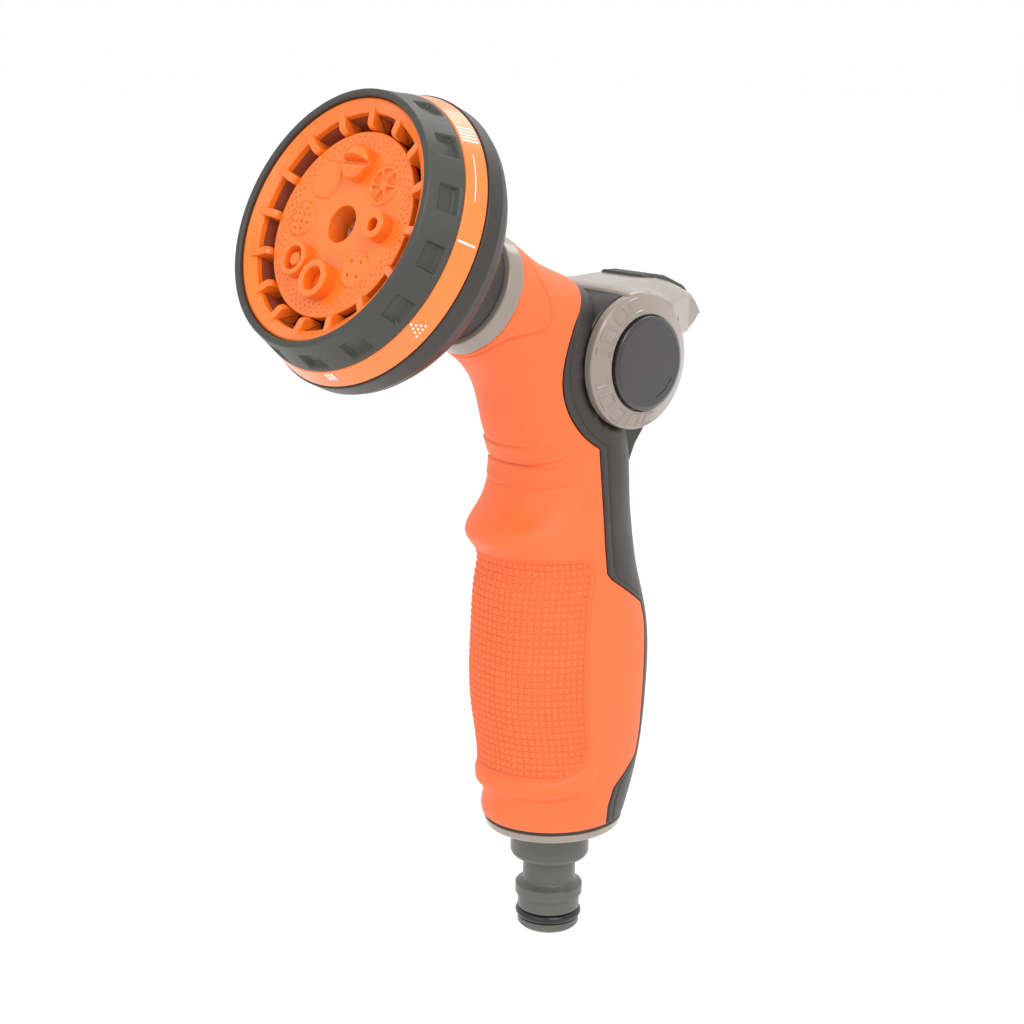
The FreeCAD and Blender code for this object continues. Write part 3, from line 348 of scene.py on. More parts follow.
def slab(outline, half, edge, where, steps=3):
    """A plate with a closed outline, centred on its plane, with rounded edges."""
    here, before = outline, np.roll(outline, 1, 0)
    after = np.roll(outline, -1, 0)
    along = after - before
    along /= np.linalg.norm(along, axis=1)[:, None]
    inward = np.stack([-along[:, 1], along[:, 0]], 1)
    area = np.sum(here[:, 0] * after[:, 1] - after[:, 0] * here[:, 1])
    inward *= math.copysign(1, area)
    rings = []
    for t in np.linspace(0, math.pi / 2, steps + 1):
        rings.append((here + inward * edge * (1 - math.sin(t)), half - edge * (1 - math.cos(t))))
    levels = [(ring, -depth) for ring, depth in rings] + [(ring, depth) for ring, depth in reversed(rings)]
    points = np.concatenate([np.column_stack([ring, np.full(len(ring), depth)]) for ring, depth in levels])
    size = len(outline)
    faces = grid_faces(len(levels), size, False, True)
    faces.append(list(range(size)))
    faces.append(list(range((len(levels) - 1) * size, len(levels) * size)))
    return moved(points, where), faces


def spline(x, y, at):
    """A natural cubic through the points (x, y), read at the given places."""
    x, y = np.asarray(x, float), np.asarray(y, float)
    h = np.diff(x)
    count = len(x)
    system, right = np.eye(count), np.zeros(count)
    for i in range(1, count - 1):
        system[i, i - 1:i + 2] = h[i - 1], 2 * (h[i - 1] + h[i]), h[i]
        right[i] = 6 * ((y[i + 1] - y[i]) / h[i] - (y[i] - y[i - 1]) / h[i - 1])
    bend = np.linalg.solve(system, right)
    i = np.clip(np.searchsorted(x, at) - 1, 0, count - 2)
    a, b = x[i + 1] - at, at - x[i]
    return (bend[i] * a ** 3 + bend[i + 1] * b ** 3) / (6 * h[i]) + \
        (y[i] / h[i] - bend[i] * h[i] / 6) * a + (y[i + 1] / h[i] - bend[i + 1] * h[i] / 6) * b


# ---------------------------------------------------------------- handle form

# The handle is drawn by sections along a path: straight up to the throat, then round the bend line.
BEND_Y, BEND_Z = -50.3, 118.0
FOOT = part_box("grip_cover")[0].z / MM


def neck(angle):
    """How far along the path a section at this angle round the bend line is."""
    return BEND_Z - BEND_Y * math.radians(angle)


# Path, centre, half width, half depth and squareness of each section.
SECTIONS = [
    (FOOT, 0.9, 17.2, 18.8, 2.0), (38, 1.5, 17.3, 20.9, 2.1), (49, 2.5, 17.6, 22.3, 2.25),
    (62, 2.0, 18.3, 23.8, 2.3), (84, 1.3, 18.4, 23.1, 2.3), (95, 0.1, 17.6, 20.9, 2.3),
    (101, -0.6, 17.2, 20.3, 2.3), (106, -2.7, 17.0, 22.0, 2.3), (111, -1.9, 16.8, 20.2, 2.3),
    (BEND_Z, 0.0, 16.4, 17.3, 2.3), (neck(22), 0.8, 15.7, 17.9, 2.25), (neck(42), 3.1, 15.3, 17.6, 2.15),
    (neck(55), 1.4, 15.0, 14.7, 2.05), (neck(65.2), 2.0, 14.9, 14.9, 2.0)]
MOUTH = SECTIONS[-1][0]

# Rear edge of the soft grip as (height, y), up to the hub's round edge.
GRIP_EDGE = [
    (29, 3.0), (36, 3.6), (40.5, 5.4), (46.8, 15.2), (53, 16.4), (82, 16.4), (87.2, 14.8), (95.2, 2.2),
    (97, 0.6), (120, -1.1), (129, -1.8)]
# The round edge at the hub: centre in Y and Z, and radius.
HUB_EDGE = (7.9, 147.0, 21.3)
HUB_TOP = 45.5
BARREL_HALF = 14.75
GRIP_SKIN, HOUSING_SKIN = 2.2, 2.0
RIM_ROUND, FOOT_ROUND, MOUTH_ROUND = 0.75, 0.5, 0.7

# The gripping panel: pitch of its cells, points to a cell, cells to each side, and its outline.
PITCH = 1.7
SAMPLES = 5
PANEL_CELLS = 17
PANEL_HALF, PANEL_LOW, PANEL_HIGH = 15.5 * PITCH, 45.5, 101.5
PANEL_EDGE = 0.4
TOP_CORNER, LOW_CORNER = 3.5, 11.0
CELL_DEPTH, CELL_VALLEY, CELL_MARGIN = 0.62, 0.4, 0.7
BORDER_DEPTH, BORDER_WIDTH = 0.32, 0.32

# Middle height and half height of the finger pads.
FINGER_PADS = ((130.6, 3.5), (122.6, 3.9))
FINGER_PAD_HALF, FINGER_PAD_LIFT = 17.5, 0.55
LEDGE_TOP = 56


def section_sizes(path):
    return [spline([row[0] for row in SECTIONS], [row[k] for row in SECTIONS], path) for k in (1, 2, 3, 4)]


def form_points(path, across, depth):
    """Points of the handle's form: x across, and depth measured towards the back, at each path."""
    angle = np.clip((path - BEND_Z) / -BEND_Y, 0, None)
    reach = depth - BEND_Y
    straight = path <= BEND_Z
    y = np.where(straight, depth, BEND_Y + reach * np.cos(angle))
    z = np.where(straight, path, BEND_Z + reach * np.sin(angle))
    return np.stack([across, y, z], -1)


def edge_depth(path):
    """Depth of the soft grip's rear edge at each path; it is past the form where the grip goes all round."""
    plain = np.interp(path, *zip(*GRIP_EDGE))
    angle = np.clip((path - BEND_Z) / -BEND_Y, 0, None)
    plain = np.where(path > BEND_Z, (plain - BEND_Y) / np.cos(np.minimum(angle, 1.0)) + BEND_Y, plain)
    edge_y, edge_z, edge_radius = HUB_EDGE
    arm_y, arm_z = edge_y - BEND_Y, edge_z - BEND_Z
    arm, rise = math.hypot(arm_y, arm_z), math.atan2(arm_z, arm_y)
    off = arm * np.sin(angle - rise)
    inside = edge_radius ** 2 - off ** 2
    near = arm * np.cos(angle - rise) - np.sqrt(np.clip(inside, 0, None)) + BEND_Y
    round_part = (path > BEND_Z) & (inside > 0)
    depth = np.where(round_part, np.minimum(near, plain), plain)
    return np.where(angle > rise + math.asin(edge_radius / arm), 99.0, depth)


def half_section(path, count=361):
    """The right half of each section, from front to back: across, depth and length along it."""
    centre, width, depth, square = [value[:, None] for value in section_sizes(path)]
    turn = np.linspace(-math.pi / 2, math.pi / 2, count)[None, :]
    across = width * np.abs(np.cos(turn)) ** (2 / square)
    back = centre + depth * np.sign(np.sin(turn)) * np.abs(np.sin(turn)) ** (2 / square)
    steps = np.hypot(np.diff(across, axis=1), np.diff(back, axis=1))
    length = np.concatenate([np.zeros((len(path), 1)), np.cumsum(steps, 1)], 1)
    return across, back, length


def at_length(path, sections, length):
    """The form's points at each path and length along the half section."""
    across, back, along = sections
    made = np.empty((len(path), length.shape[1], 3))
    for i in range(len(path)):
        x = np.interp(length[i], along[i], across[i])
        depth = np.interp(length[i], along[i], back[i])
        made[i] = form_points(np.full(len(x), path[i]), x, depth)
    return made


def form_normals(path, length):
    """Normals of the form, from small steps along it and across it."""
    side_step, path_step = 0.4, 0.3
    here, above, below = (half_section(path + step) for step in (0, path_step, -path_step))
    side = at_length(path, here, length + side_step) - at_length(path, here, length - side_step)
    up = at_length(path + path_step, above, length) - at_length(path - path_step, below, length)
    normal = np.cross(side, up)
    return normal / (np.linalg.norm(normal, axis=2)[..., None] + 1e-12)


def closed_skin(outer, inner, joined=None):
    """Points and faces of a closed shape between two grids; joined marks rows whose two ends meet."""
    rows, columns = outer.shape[:2]
    count = rows * columns
    faces = []
    for start in (0, count):
        faces += [[start + i for i in face] for face in grid_faces(rows, columns)]
    for low in range(rows - 1):
        here, above = low * columns, (low + 1) * columns
        if joined is not None and joined[low] and joined[low + 1]:
            continue
        for side in (0, columns - 1):
            faces.append([here + side, above + side, count + above + side, count + here + side])
    for end in (0, (rows - 1) * columns):
        for i in range(columns - 1):
            faces.append([end + i, end + i + 1, count + end + i + 1, count + end + i])
    return np.concatenate([outer.reshape(-1, 3), inner.reshape(-1, 3)]), faces


def panel_distance(length, path):
    """Distance outside the gripping panel's rounded outline, negative inside it."""
    middle, half_high = (PANEL_LOW + PANEL_HIGH) / 2, (PANEL_HIGH - PANEL_LOW) / 2
    corner = np.where(path > middle, TOP_CORNER, LOW_CORNER)
    dx = np.abs(length) - (PANEL_HALF + PANEL_EDGE - corner)
    dy = np.abs(path - middle) - (half_high - corner)
    return np.hypot(np.maximum(dx, 0), np.maximum(dy, 0)) + np.minimum(np.maximum(dx, dy), 0) - corner


def from_line(number):
    """How far a row or column is from the nearest line between cells, as a share of a cell."""
    past = number % SAMPLES
    return np.minimum(past, SAMPLES - past) / SAMPLES


def panel_relief(outside, column, row):
    """Sunk lines between the cells of the panel, and a groove round it."""
    valley = np.maximum(1 - from_line(column) / CELL_VALLEY, 1 - from_line(row) / CELL_VALLEY)
    cells = -CELL_DEPTH * np.clip(valley, 0, 1) * (outside < -CELL_MARGIN)
    return cells - BORDER_DEPTH * np.exp(-(outside / BORDER_WIDTH) ** 2)


def finger_pad(length, path, middle, tall):
    reach = np.hypot(length / FINGER_PAD_HALF, (path - middle) / tall)
    return FINGER_PAD_LIFT * (1 - step_up(reach, 0.93, 1.05))


def palm_ledge(outside, length, path):
    """A lip under the panel with a hollow below it, both fading out round the sides."""
    below = (path < LEDGE_TOP) & (outside > 0)
    fade = 1 - step_up(np.abs(length), 20, 31)
    lip = 0.55 * bump_between(outside, 0.9, 4.6, 1.8)
    hollow = -1.15 * step_up(outside, 4.4, 6.4) * (1 - step_up(outside, 7.5, 12.5))
    return below * fade * (lip + hollow)


def hook_hollow(length, path):
    """The depth of the two hollows over the finger hook."""
    return 0.9 * np.exp(-((np.abs(length) - 9) / 6.5) ** 2 - ((path - 113.2) / 3.6) ** 2)


def neck_groove(length, path):
    """A groove across the neck that dips at its sides."""
    line = 173.4 - 9.6 * np.exp(-((np.abs(length) - 24) / 7.5) ** 2)
    groove = -0.55 * np.exp(-((path - line) / 0.4) ** 2)
    return groove * (path > 158) * (np.abs(length) < 44)


def grip_relief(length, path, column, row):
    """The soft grip's moulded detail, as a height over the form."""
    outside = panel_distance(length, path)
    height = panel_relief(outside, column, row)
    for middle, tall in FINGER_PADS:
        height = height + finger_pad(length, path, middle, tall)
    height = height + palm_ledge(outside, length, path)
    height = height - hook_hollow(length, path)
    return height + neck_groove(length, path)


def path_rows():
    """Where the rows lie: close together on the panel, at the ends and where the edge turns sharply."""
    step = PITCH / SAMPLES
    panel = PANEL_LOW - 1.5 * PITCH + step * np.arange(int((PANEL_HIGH - PANEL_LOW + 3 * PITCH) / step))
    ends = FOOT + np.array([0, 0.06, 0.16, 0.32, 0.55, 0.9, 1.4])
    heel = np.linspace(FOOT + 1.9, panel[0] - 0.4, 32)
    throat = np.linspace(panel[-1] + 0.45, neck(42), 124)
    turn = np.linspace(neck(42.3), neck(47), 44)
    top = np.linspace(neck(47.4), MOUTH - 1.6, 33)
    lip = MOUTH - np.array([1.2, 0.8, 0.5, 0.28, 0.12, 0.04, 0])
    return np.concatenate([ends, heel, panel, throat, turn, top, lip]), len(ends) + len(heel)


def softened(values, path, reach=0.9):
    """Rounds the corners of an edge given row by row."""
    step = 0.1
    fine = np.arange(path[0], path[-1], step)
    level = np.interp(fine, path, values)
    kernel = np.hanning(int(reach / step) * 2 + 1)
    smooth = np.convolve(np.pad(level, len(kernel) // 2, "edge"), kernel / kernel.sum(), "valid")
    return np.interp(path, fine, smooth)


def edge_length(path, sections):
    """Length from the front of the section to the soft grip's rear edge, and where it goes all round."""
    across, back, along = sections
    full = along[:, -1]
    depth = edge_depth(path)
    length = np.array([np.interp(d, b, a) for d, b, a in zip(depth, back, along)])
    closed = length >= full - 1e-6
    straight = path < BEND_Z + 6
    length = np.where(straight, softened(length, path), length)
    return np.where(closed, full, length), closed


def dip(distance, radius):
    """How far a rounded edge falls below the surface at this distance from it."""
    t = np.clip(radius - distance, 0, radius)
    return radius - np.sqrt(np.clip(radius ** 2 - t ** 2, 0, None))


def half_columns(edge):
    """Lengths of the columns on one half: even over the panel, then out to the rear edge."""
    panel = np.arange(PANEL_CELLS * SAMPLES + 1)
    even = np.minimum(PANEL_CELLS * PITCH, edge - 2.6)[:, None] * (panel / panel[-1])[None, :]
    rim = edge[:, None] - np.array([1.3, 0.9, 0.6, 0.36, 0.18, 0.06, 0])[None, :]
    share = np.linspace(0, 1, 22)[1:-1][None, :]
    middle = even[:, -1:] + (rim[:, :1] - even[:, -1:]) * share
    return np.concatenate([even, middle, rim], 1)


def make_grip():
    """The soft grip: a closed skin over the housing, with real relief."""
    path, first_panel_row = path_rows()
    sections = half_section(path)
    edge, closed = edge_length(path, sections)
    length = half_columns(edge)
    right = at_length(path, sections, length)
    normal = form_normals(path, length)
    slope = np.gradient(np.where(closed, edge[~closed][-1], edge), path)[:, None]
    from_edge = (edge[:, None] - length) / np.sqrt(1 + np.minimum(slope ** 2, 40))
    column = np.arange(length.shape[1])[None, :]
    row = (np.arange(len(path)) - first_panel_row)[:, None]
    lift = grip_relief(length, path[:, None], column, row)
    rim = dip(from_edge, RIM_ROUND) * ~closed[:, None]
    ends = np.maximum(dip(path - FOOT, FOOT_ROUND), dip(MOUTH - path, MOUTH_ROUND))[:, None]
    lift = lift * (from_edge > 1.0) - np.maximum(rim, ends)
    outer = right + normal * lift[..., None]
    inner = right - normal * GRIP_SKIN
    outer[:, 0, 0] = inner[:, 0, 0] = 0

    def whole(half):
        other = half[:, :0:-1] * np.array([-1, 1, 1])
        return np.concatenate([other, half], 1)

    shape = closed_skin(whole(outer), whole(inner), closed)
    return piece("soft_grip", [shape], "handle", SOFT_ORANGE, ["grip_cover"])


# Across the housing: distances from the soft grip's edge, distances from the middle seam, and how far
# the surface lies under the form at each of them.
EDGE_REACH = np.array([-1.2, -0.05, 0.12, 0.22, 0.45, 1.9, 2.1, 2.25, 2.4, 2.6])
EDGE_FALL = (1.6, 1.6, 0.5, 0.15, 0.02, 0.02, 0.18, 0.34, 0.3, 0.16)
SEAM_REACH = np.array([0.3, 0.12, 0.05, 0.0])
SEAM_FALL = (0.14, 0.2, 0.34, 0.4)
BACK_COUNT, BACK_FALL = 25, 0.12

# The barrel at the hub as (radius, station), and the fairing under it as (y, z).
BARREL = [(9.4, 0.02), (16.6, 0.02, 0.2), (16.6, 14.4, 0.7), (9.4, 14.4)]
FAIRING = [
    (-4.5, 108), (12.5, 108), (13.6, 121, 4), (15.9, 126, 4), (18.9, 129.8, 4), (25.4, 142), (9.5, 148)]
FAIRING_CENTRE, FAIRING_HALF = 5.5, 5.46


def spine_rows():
    ends = FOOT + np.array([0, 0.1, 0.3, 0.6, 1.1])
    low = np.linspace(FOOT + 1.8, neck(22), 210)
    high = np.linspace(neck(22.5), neck(HUB_TOP), 70)
    return np.concatenate([ends, low, high])


def housing_half(path):
    """The right half's outer and inner surface: a rim beside the soft grip, a fine groove, then the back."""
    sections = half_section(path)
    edge = edge_length(path, sections)[0]
    full = sections[2][:, -1:]
    rim = edge[:, None] + EDGE_REACH
    share = np.linspace(0, 1, BACK_COUNT + 1)[1:]
    back = rim[:, -1:] + (full - 0.5 - rim[:, -1:]) * share
    length = np.minimum(np.concatenate([rim, back, full - SEAM_REACH], 1), full)
    fall = np.array([*EDGE_FALL, *[BACK_FALL] * BACK_COUNT, *SEAM_FALL])
    inset = fall + dip(path - FOOT, FOOT_ROUND)[:, None]
    form = at_length(path, sections, length)
    normal = form_normals(path, length)
    outer = form - normal * inset[..., None]
    inner = form - normal * HOUSING_SKIN
    from_hub = np.hypot(outer[..., 1] - HUB[1], outer[..., 2] - HUB[2])
    under_ring = BARREL_HALF - 0.35 + 3 * step_up(from_hub, 16.9, 17.9)
    outer[..., 0] = np.minimum(outer[..., 0], under_ring)
    inner[..., 0] = np.minimum(inner[..., 0], outer[..., 0] - 0.5)
    return outer, inner


def make_spine():
    """The hard back of the handle: each half is a skin, the hub's barrel and the fairing."""
    outer, inner = housing_half(spine_rows())
    for name, mirror in (("right", 1), ("left", -1)):
        flip = np.diag([mirror, 1.0, 1.0, 1.0])
        side = place((FAIRING_CENTRE * mirror, 0, 0), (0, 1, 0), (1, 0, 0))
        shapes = [closed_skin(moved(outer, flip), moved(inner, flip)),
                  turned(rounded(BARREL), flip @ HUB_RIGHT), slab(rounded(FAIRING), FAIRING_HALF, 0.9, side)]
        piece("housing_" + name + "_skin", shapes, "handle", DARK, ["housing_" + name])


# ---------------------------------------------------------------- collars and connector

FOOT_WIDE, FOOT_DEEP, FOOT_CENTRE = 17.0, 18.3, 0.9
ROUND_PART = 12


def end_oval(angle, radius, station):
    """Turns the outer part of a round outline into the handle's oval foot."""
    oval = 1 / np.sqrt((np.cos(angle) / FOOT_WIDE) ** 2 + (np.sin(angle) / FOOT_DEEP) ** 2)
    return np.where(radius > ROUND_PART, radius * oval / FOOT_DEEP, radius), station


def make_collars():
    foot = place((0, FOOT_CENTRE, 0), (1, 0, 0), (0, 0, 1))
    low, high = (corner.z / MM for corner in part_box("end_collar"))
    cup = [(10.3, low), (15.0, low, 0.7), (17.8, low + 1.3, 1.0), (18.3, high - 0.02, 0.25),
           (10.3, high - 0.02)]
    flattened(piece("foot_collar", [turned(rounded(cup), foot, 256, end_oval)], "handle", LIGHT_GREY,
                    ["end_collar"]))
    collar = [(7.15, 36), (10.2, 36), (10.2, 41.75), (14.85, 41.75, 0.25), (14.8, 42.4, 0.2),
              (14.05, 45.8, 0.5), (7.15, 45.8, 0.2)]
    flattened(piece("throat_collar", [turned(rounded(collar), HEAD, 256)], "handle", LIGHT_GREY,
                    ["neck_collar"]))


def make_connector():
    body = [(4.5, 0, 0.3), (7.1, 0, 0.3), (7.9, 0.8, 0.5), (7.9, 2.4, 0.2), (6.2, 2.4), (6.2, 5.0),
            (7.9, 5.0, 0.2), (7.9, 8.3, 0.3), (8.6, 8.8, 0.3), (8.6, 11.4, 0.35), (7.6, 12.0, 0.3),
            (6.75, 12.6, 0.5), (6.7, 18.6, 0.6), (9.65, 19.6, 0.4), (10.05, 20.5, 0.3), (10.05, 28.8, 0.1),
            (8.5, 28.8), (8.5, 38), (6.02, 38), (6.02, 31), (4.5, 31)]
    flattened(piece("hose_spigot", [turned(rounded(body), UPRIGHT, 192)], "handle", ADAPTOR,
                    ["hose_adaptor"]))


# ---------------------------------------------------------------- thumb lever

# The visor at each Y: height of its crest, of its side edge and of its foot, and its half width.
VISOR_TOP = ((5.6, 165.0), (8, 165.6), (12, 166.0), (16, 166.3), (20, 166.5), (25, 166.3), (30, 165.5),
             (36, 163.3), (38.6, 161.0), (40.6, 157.6))
VISOR_SIDE = ((5.6, 164.5), (9.5, 164.8), (13, 164.2), (17, 162.9), (20.7, 161.2), (27, 161.8), (33, 162.2),
              (36, 161.4), (38.6, 159.4), (40.6, 157.2))
VISOR_FOOT = ((5.6, 163.3), (14, 161), (19, 156), (25.5, 152.6), (34, 152.4), (38.4, 154.8), (40.6, 156.8))
VISOR_WIDTH = ((5.6, 17), (20.5, 17), (22, 16.4), (35, 9.8), (40.6, 8.4))
VISOR_FROM, VISOR_TO = 5.6, 40.6
# The share of the visor's width that is flat, and the room it leaves round the barrel and behind it.
VISOR_FLAT = 0.42
BARREL_ROOM, TAB_ROOM, TAB_FROM = 17.0, 18.7, 17.5
PAD_HALF, PAD_FROM, PAD_TO = 7.0, 20.5, 38.0
GROOVE_PITCH, GROOVE_DEPTH, GROOVES_TO = 3.2, 0.3, 34
# The small frames on the lever's rings: how many, their circle, half sizes, line and height.
FRAME_COUNT, FRAME_CIRCLE = 16, 14.0
FRAME_ACROSS, FRAME_TALL, FRAME_LINE, FRAME_LIFT = 1.7, 1.4, 0.2, 0.42
FRAMES_FROM, FRAMES_TO, FRAME_GAP = 95, 285, 12
# The conical face of the rings: where it starts, and the way it faces as (outward, along the axis).
RING_FACE, RING_OUT, RING_ALONG = 17.02, 0.47, 0.88


def along_y(table, y):
    return np.interp(y, *zip(*table))


def visor_top(x, y):
    share = np.abs(x) / along_y(VISOR_WIDTH, y)
    fall = np.clip((share - VISOR_FLAT) / (1 - VISOR_FLAT), 0, 1) ** 1.3
    crest = along_y(VISOR_TOP, y)
    return crest - (crest - along_y(VISOR_SIDE, y)) * fall


def visor_grid():
    edge = np.array([0, 0.08, 0.25, 0.5, 0.85])
    y = np.concatenate([VISOR_FROM + edge, np.linspace(6.9, 39.2, 60), VISOR_TO - edge[::-1]])
    side = np.array([0, 0.005, 0.015, 0.03, 0.05])
    share = np.concatenate([-1 + side, np.linspace(-0.93, 0.93, 45), 1 - side[::-1]])
    width = along_y(VISOR_WIDTH, y)[:, None]
    x, y = share[None, :] * width, np.repeat(y[:, None], len(share), 1)
    from_edge = np.minimum(np.minimum(width - np.abs(x), y - VISOR_FROM), VISOR_TO - y)
    return x, y, from_edge


def make_visor():
    """The light cover over the hub that ends in the thumb tab."""
    x, y, from_edge = visor_grid()
    top = visor_top(x, y) - dip(from_edge, 0.8)
    foot = along_y(VISOR_FOOT, y)
    room = np.where(y < TAB_FROM, BARREL_ROOM, TAB_ROOM)
    over = HUB[2] + np.sqrt(np.clip(room ** 2 - (y - HUB[1]) ** 2, 0, None))
    foot = np.where(np.abs(x) < BARREL_HALF, np.maximum(foot, over), foot)
    foot = np.minimum(foot, top - 0.3)
    return closed_skin(np.stack([x, y, top], -1), np.stack([x, y, foot], -1))


def make_pad():
    """The dark pad on the visor, with grooves across it for the thumb."""
    edge = np.array([0, 0.06, 0.2, 0.45, 0.8])
    y = np.concatenate([PAD_FROM + edge, np.linspace(PAD_FROM + 1, PAD_TO - 1, 150), PAD_TO - edge[::-1]])
    x = np.concatenate([-PAD_HALF + edge, np.linspace(1 - PAD_HALF, PAD_HALF - 1, 17), PAD_HALF - edge[::-1]])
    x, y = np.meshgrid(x, y)
    from_edge = np.minimum(PAD_HALF - np.abs(x), np.minimum(y - PAD_FROM, PAD_TO - y))
    grooves = GROOVE_DEPTH * bump_between((y - 19) % GROOVE_PITCH, 0.0, 0.8, 0.5)
    grooves = grooves * bump_between(y, 18.6, GROOVES_TO, 0.5)
    surface = visor_top(x, y)
    top = surface + 0.75 - grooves - dip(from_edge, 0.7)
    shape = closed_skin(np.stack([x, y, top], -1), np.stack([x, y, surface - 0.6], -1))
    piece("thumb_rest", [shape], "lever", RUBBER, ["thumb_pad"])


def framed(angle, radius, station):
    """Small raised frames round the conical face of the lever's rings."""
    side = around(angle, FRAME_COUNT, math.pi / FRAME_COUNT) * FRAME_CIRCLE
    outside = np.maximum(np.abs(side) - FRAME_ACROSS, np.abs(radius - FRAME_CIRCLE) - FRAME_TALL)
    line = np.exp(-(outside / FRAME_LINE) ** 2)
    kept = (angle > math.radians(FRAMES_FROM)) & (angle < math.radians(FRAMES_TO))
    kept = kept & (np.abs(angle - math.pi) > math.radians(FRAME_GAP))
    lift = np.where(station > RING_FACE, FRAME_LIFT * line * kept, 0)
    return radius + lift * RING_OUT, station + lift * RING_ALONG


def part_turn(outline, where, first, last, count=25):
    """A closed (radius, station) outline swept between two angles in degrees."""
    angle = np.radians(np.linspace(first, last, count))[:, None]
    radius, station = outline[None, :, 0], outline[None, :, 1]
    points = np.stack(np.broadcast_arrays(radius * np.cos(angle), radius * np.sin(angle), station), -1)
    size = len(outline)
    faces = grid_faces(count, size, False, True)
    faces.append(list(range(size)))
    faces.append(list(range((count - 1) * size, count * size)))
    return moved(points.reshape(-1, 3), where), faces


def make_lever():
    ring = [(5.1, 14.8), (16.4, 14.8, 0.2), (16.4, 16.9, 0.5), (11.65, 19.5, 0.35), (11.6, 17.9), (1.6, 17.9),
            (1.6, 16.4), (5.1, 16.4)]
    outline = divided(rounded(ring), 0.16)
    shapes = [make_visor()]
    for where in (HUB_RIGHT, HUB_LEFT):
        shapes.append(turned(outline, where, 720, framed))
    flattened(piece("lever_visor", shapes, "lever", LIGHT_GREY, ["thumb_lever"]))
    make_pad()
    cap = [(0, 18.0), (11.35, 18.0), (11.35, 20.3, 0.35), (10.3, 20.75, 0.3), (9.6, 20.75, 0.4), (0, 21.05)]
    arc = [(8.55, 20.7), (8.85, 20.7), (8.85, 20.98, 0.08), (8.55, 20.98, 0.08)]
    for name, where in (("right", HUB_RIGHT), ("left", HUB_LEFT)):
        shapes = [turned(rounded(cap), where, 128), part_turn(rounded(arc), where, -72, -28)]
        flattened(piece("cap_" + name, shapes, "lever", CAP, ["hub_cap_" + name]))


# ---------------------------------------------------------------- spray head

# Stations are measured along the spray axis from the hub.
FIN_COUNT, NOTCH_COUNT = 16, 15
FIRST_NOTCH = math.radians(16)
NOTCH_CIRCLE, NOTCH_FROM, NOTCH_TO = 31.0, 82.1, 86.3
# The band's outer edges as (radius, station).
BAND_REAR, BAND_FRONT = (34.0, 75.58), (32.3, 80.66)
FACE = 85.1
EDGE_HOLES = 64


def notched(angle, radius, station):
    """Finger notches sunk into the front ring."""
    side = np.abs(around(angle, NOTCH_COUNT, FIRST_NOTCH)) * NOTCH_CIRCLE
    across = 1 - step_up(side, 2.6, 3.15)
    along = bump_between(station, NOTCH_FROM, NOTCH_TO, 0.7)
    outer = step_up(radius, 29.2, 29.5)
    depth = np.interp(station, (NOTCH_FROM, NOTCH_TO), (1.35, 0.75))
    return radius - depth * across * along * outer, station


def make_head_shells():
    grip = [(28.05, 80.8), (32.25, 80.8, 0.25), (29.55, 89.4, 1.0), (28.4, 89.4, 0.35), (28.05, 89.0)]
    ring = divided(rounded(grip, 6), 0.25)
    piece("head_grip_ring", [turned(ring, HEAD, 960, notched)], "spray_head", RUBBER,
          ["front_grip_ring"])
    band = [(30.05, BAND_REAR[1]), (*BAND_REAR, 0.35), (*BAND_FRONT, 0.35), (30.05, BAND_FRONT[1])]
    flattened(piece("head_band", [turned(rounded(band), HEAD, 256)], "spray_head", BAND_ORANGE,
                    ["pattern_band"]))
    shell = [(10.95, 46.1), (13, 46.1, 0.4), (13, 58, 3.0), (31.4, 66.4, 2.5), (33.4, 69.1, 1.5),
             (34.3, 71.3, 1.5), (34.3, 75.5, 0.35), (30, 75.5), (30, 80.6), (28.3, 80.6), (28.3, 72.5),
             (27.1, 72.5), (27.1, 69), (25.9, 66.2), (18.4, 62.9), (10.95, 60)]
    flattened(piece("head_shell", [turned(rounded(shell, 6), HEAD, 256)], "spray_head", DARK,
                    ["head_rear_shell"]))


def make_bezel():
    """The orange ring in the head, with fins that reach in to the face plate."""
    ring = [(26.15, 76.3), (27.95, 76.3), (27.95, 88.25, 0.3), (27.3, 88.45, 0.25), (25, 86.7, 0.5),
            (24.8, 81, 0.2), (26.15, 80.2)]
    fin = rounded([(26.4, 81.6), (26.4, 87.75, 0.2), (24.5, 87.3, 1.0), (22.4, 86.9, 1.2), (21.65, 85.8, 1.2),
                   (21.65, 81.6, 0.2)], 5)
    shapes = [turned(rounded(ring), HEAD, 256)]
    for i in range(FIN_COUNT):
        turn = 2 * math.pi * i / FIN_COUNT
        out = HEAD[:3, :3] @ np.array([math.cos(turn), math.sin(turn), 0])
        sideways = np.cross(out, SPRAY)
        shapes.append(slab(fin, 0.95, 0.3, place(HUB, out, sideways)))
    flattened(piece("face_ring", shapes, "spray_head", ORANGE, ["face_bezel"]))


# A dark ring of painted shade behind the windows, standing for the shadowed floor of the channel.
def make_window_shade_floor():
    floor = np.array([(21.6, 81.0), (24.9, 81.0), (24.9, 85.3), (24.6, 85.3), (24.6, 81.4), (21.6, 81.4)])
    piece("window_shade_floor", [turned(floor, HEAD, 128)], "spray_head", CHAMBER_SHADE)


def cone_patch(low_angle, high_angle, rear, front):
    """A thin raised mark on the band, between two angles in degrees and two stations."""
    steps = max(1, int(abs(high_angle - low_angle) / 1.5))
    angles = np.radians(np.linspace(low_angle, high_angle, steps + 1))
    stations = np.linspace(rear, front, 3)
    angle, station = np.meshgrid(angles, stations, indexing="ij")

    slope = (BAND_FRONT[0] - BAND_REAR[0]) / (BAND_FRONT[1] - BAND_REAR[1])

    def layer(lift):
        radius = BAND_REAR[0] + (station - BAND_REAR[1]) * slope + lift
        return moved(np.stack([radius * np.cos(angle), radius * np.sin(angle), station], -1), HEAD)

    return closed_skin(layer(0.08), layer(-0.2))


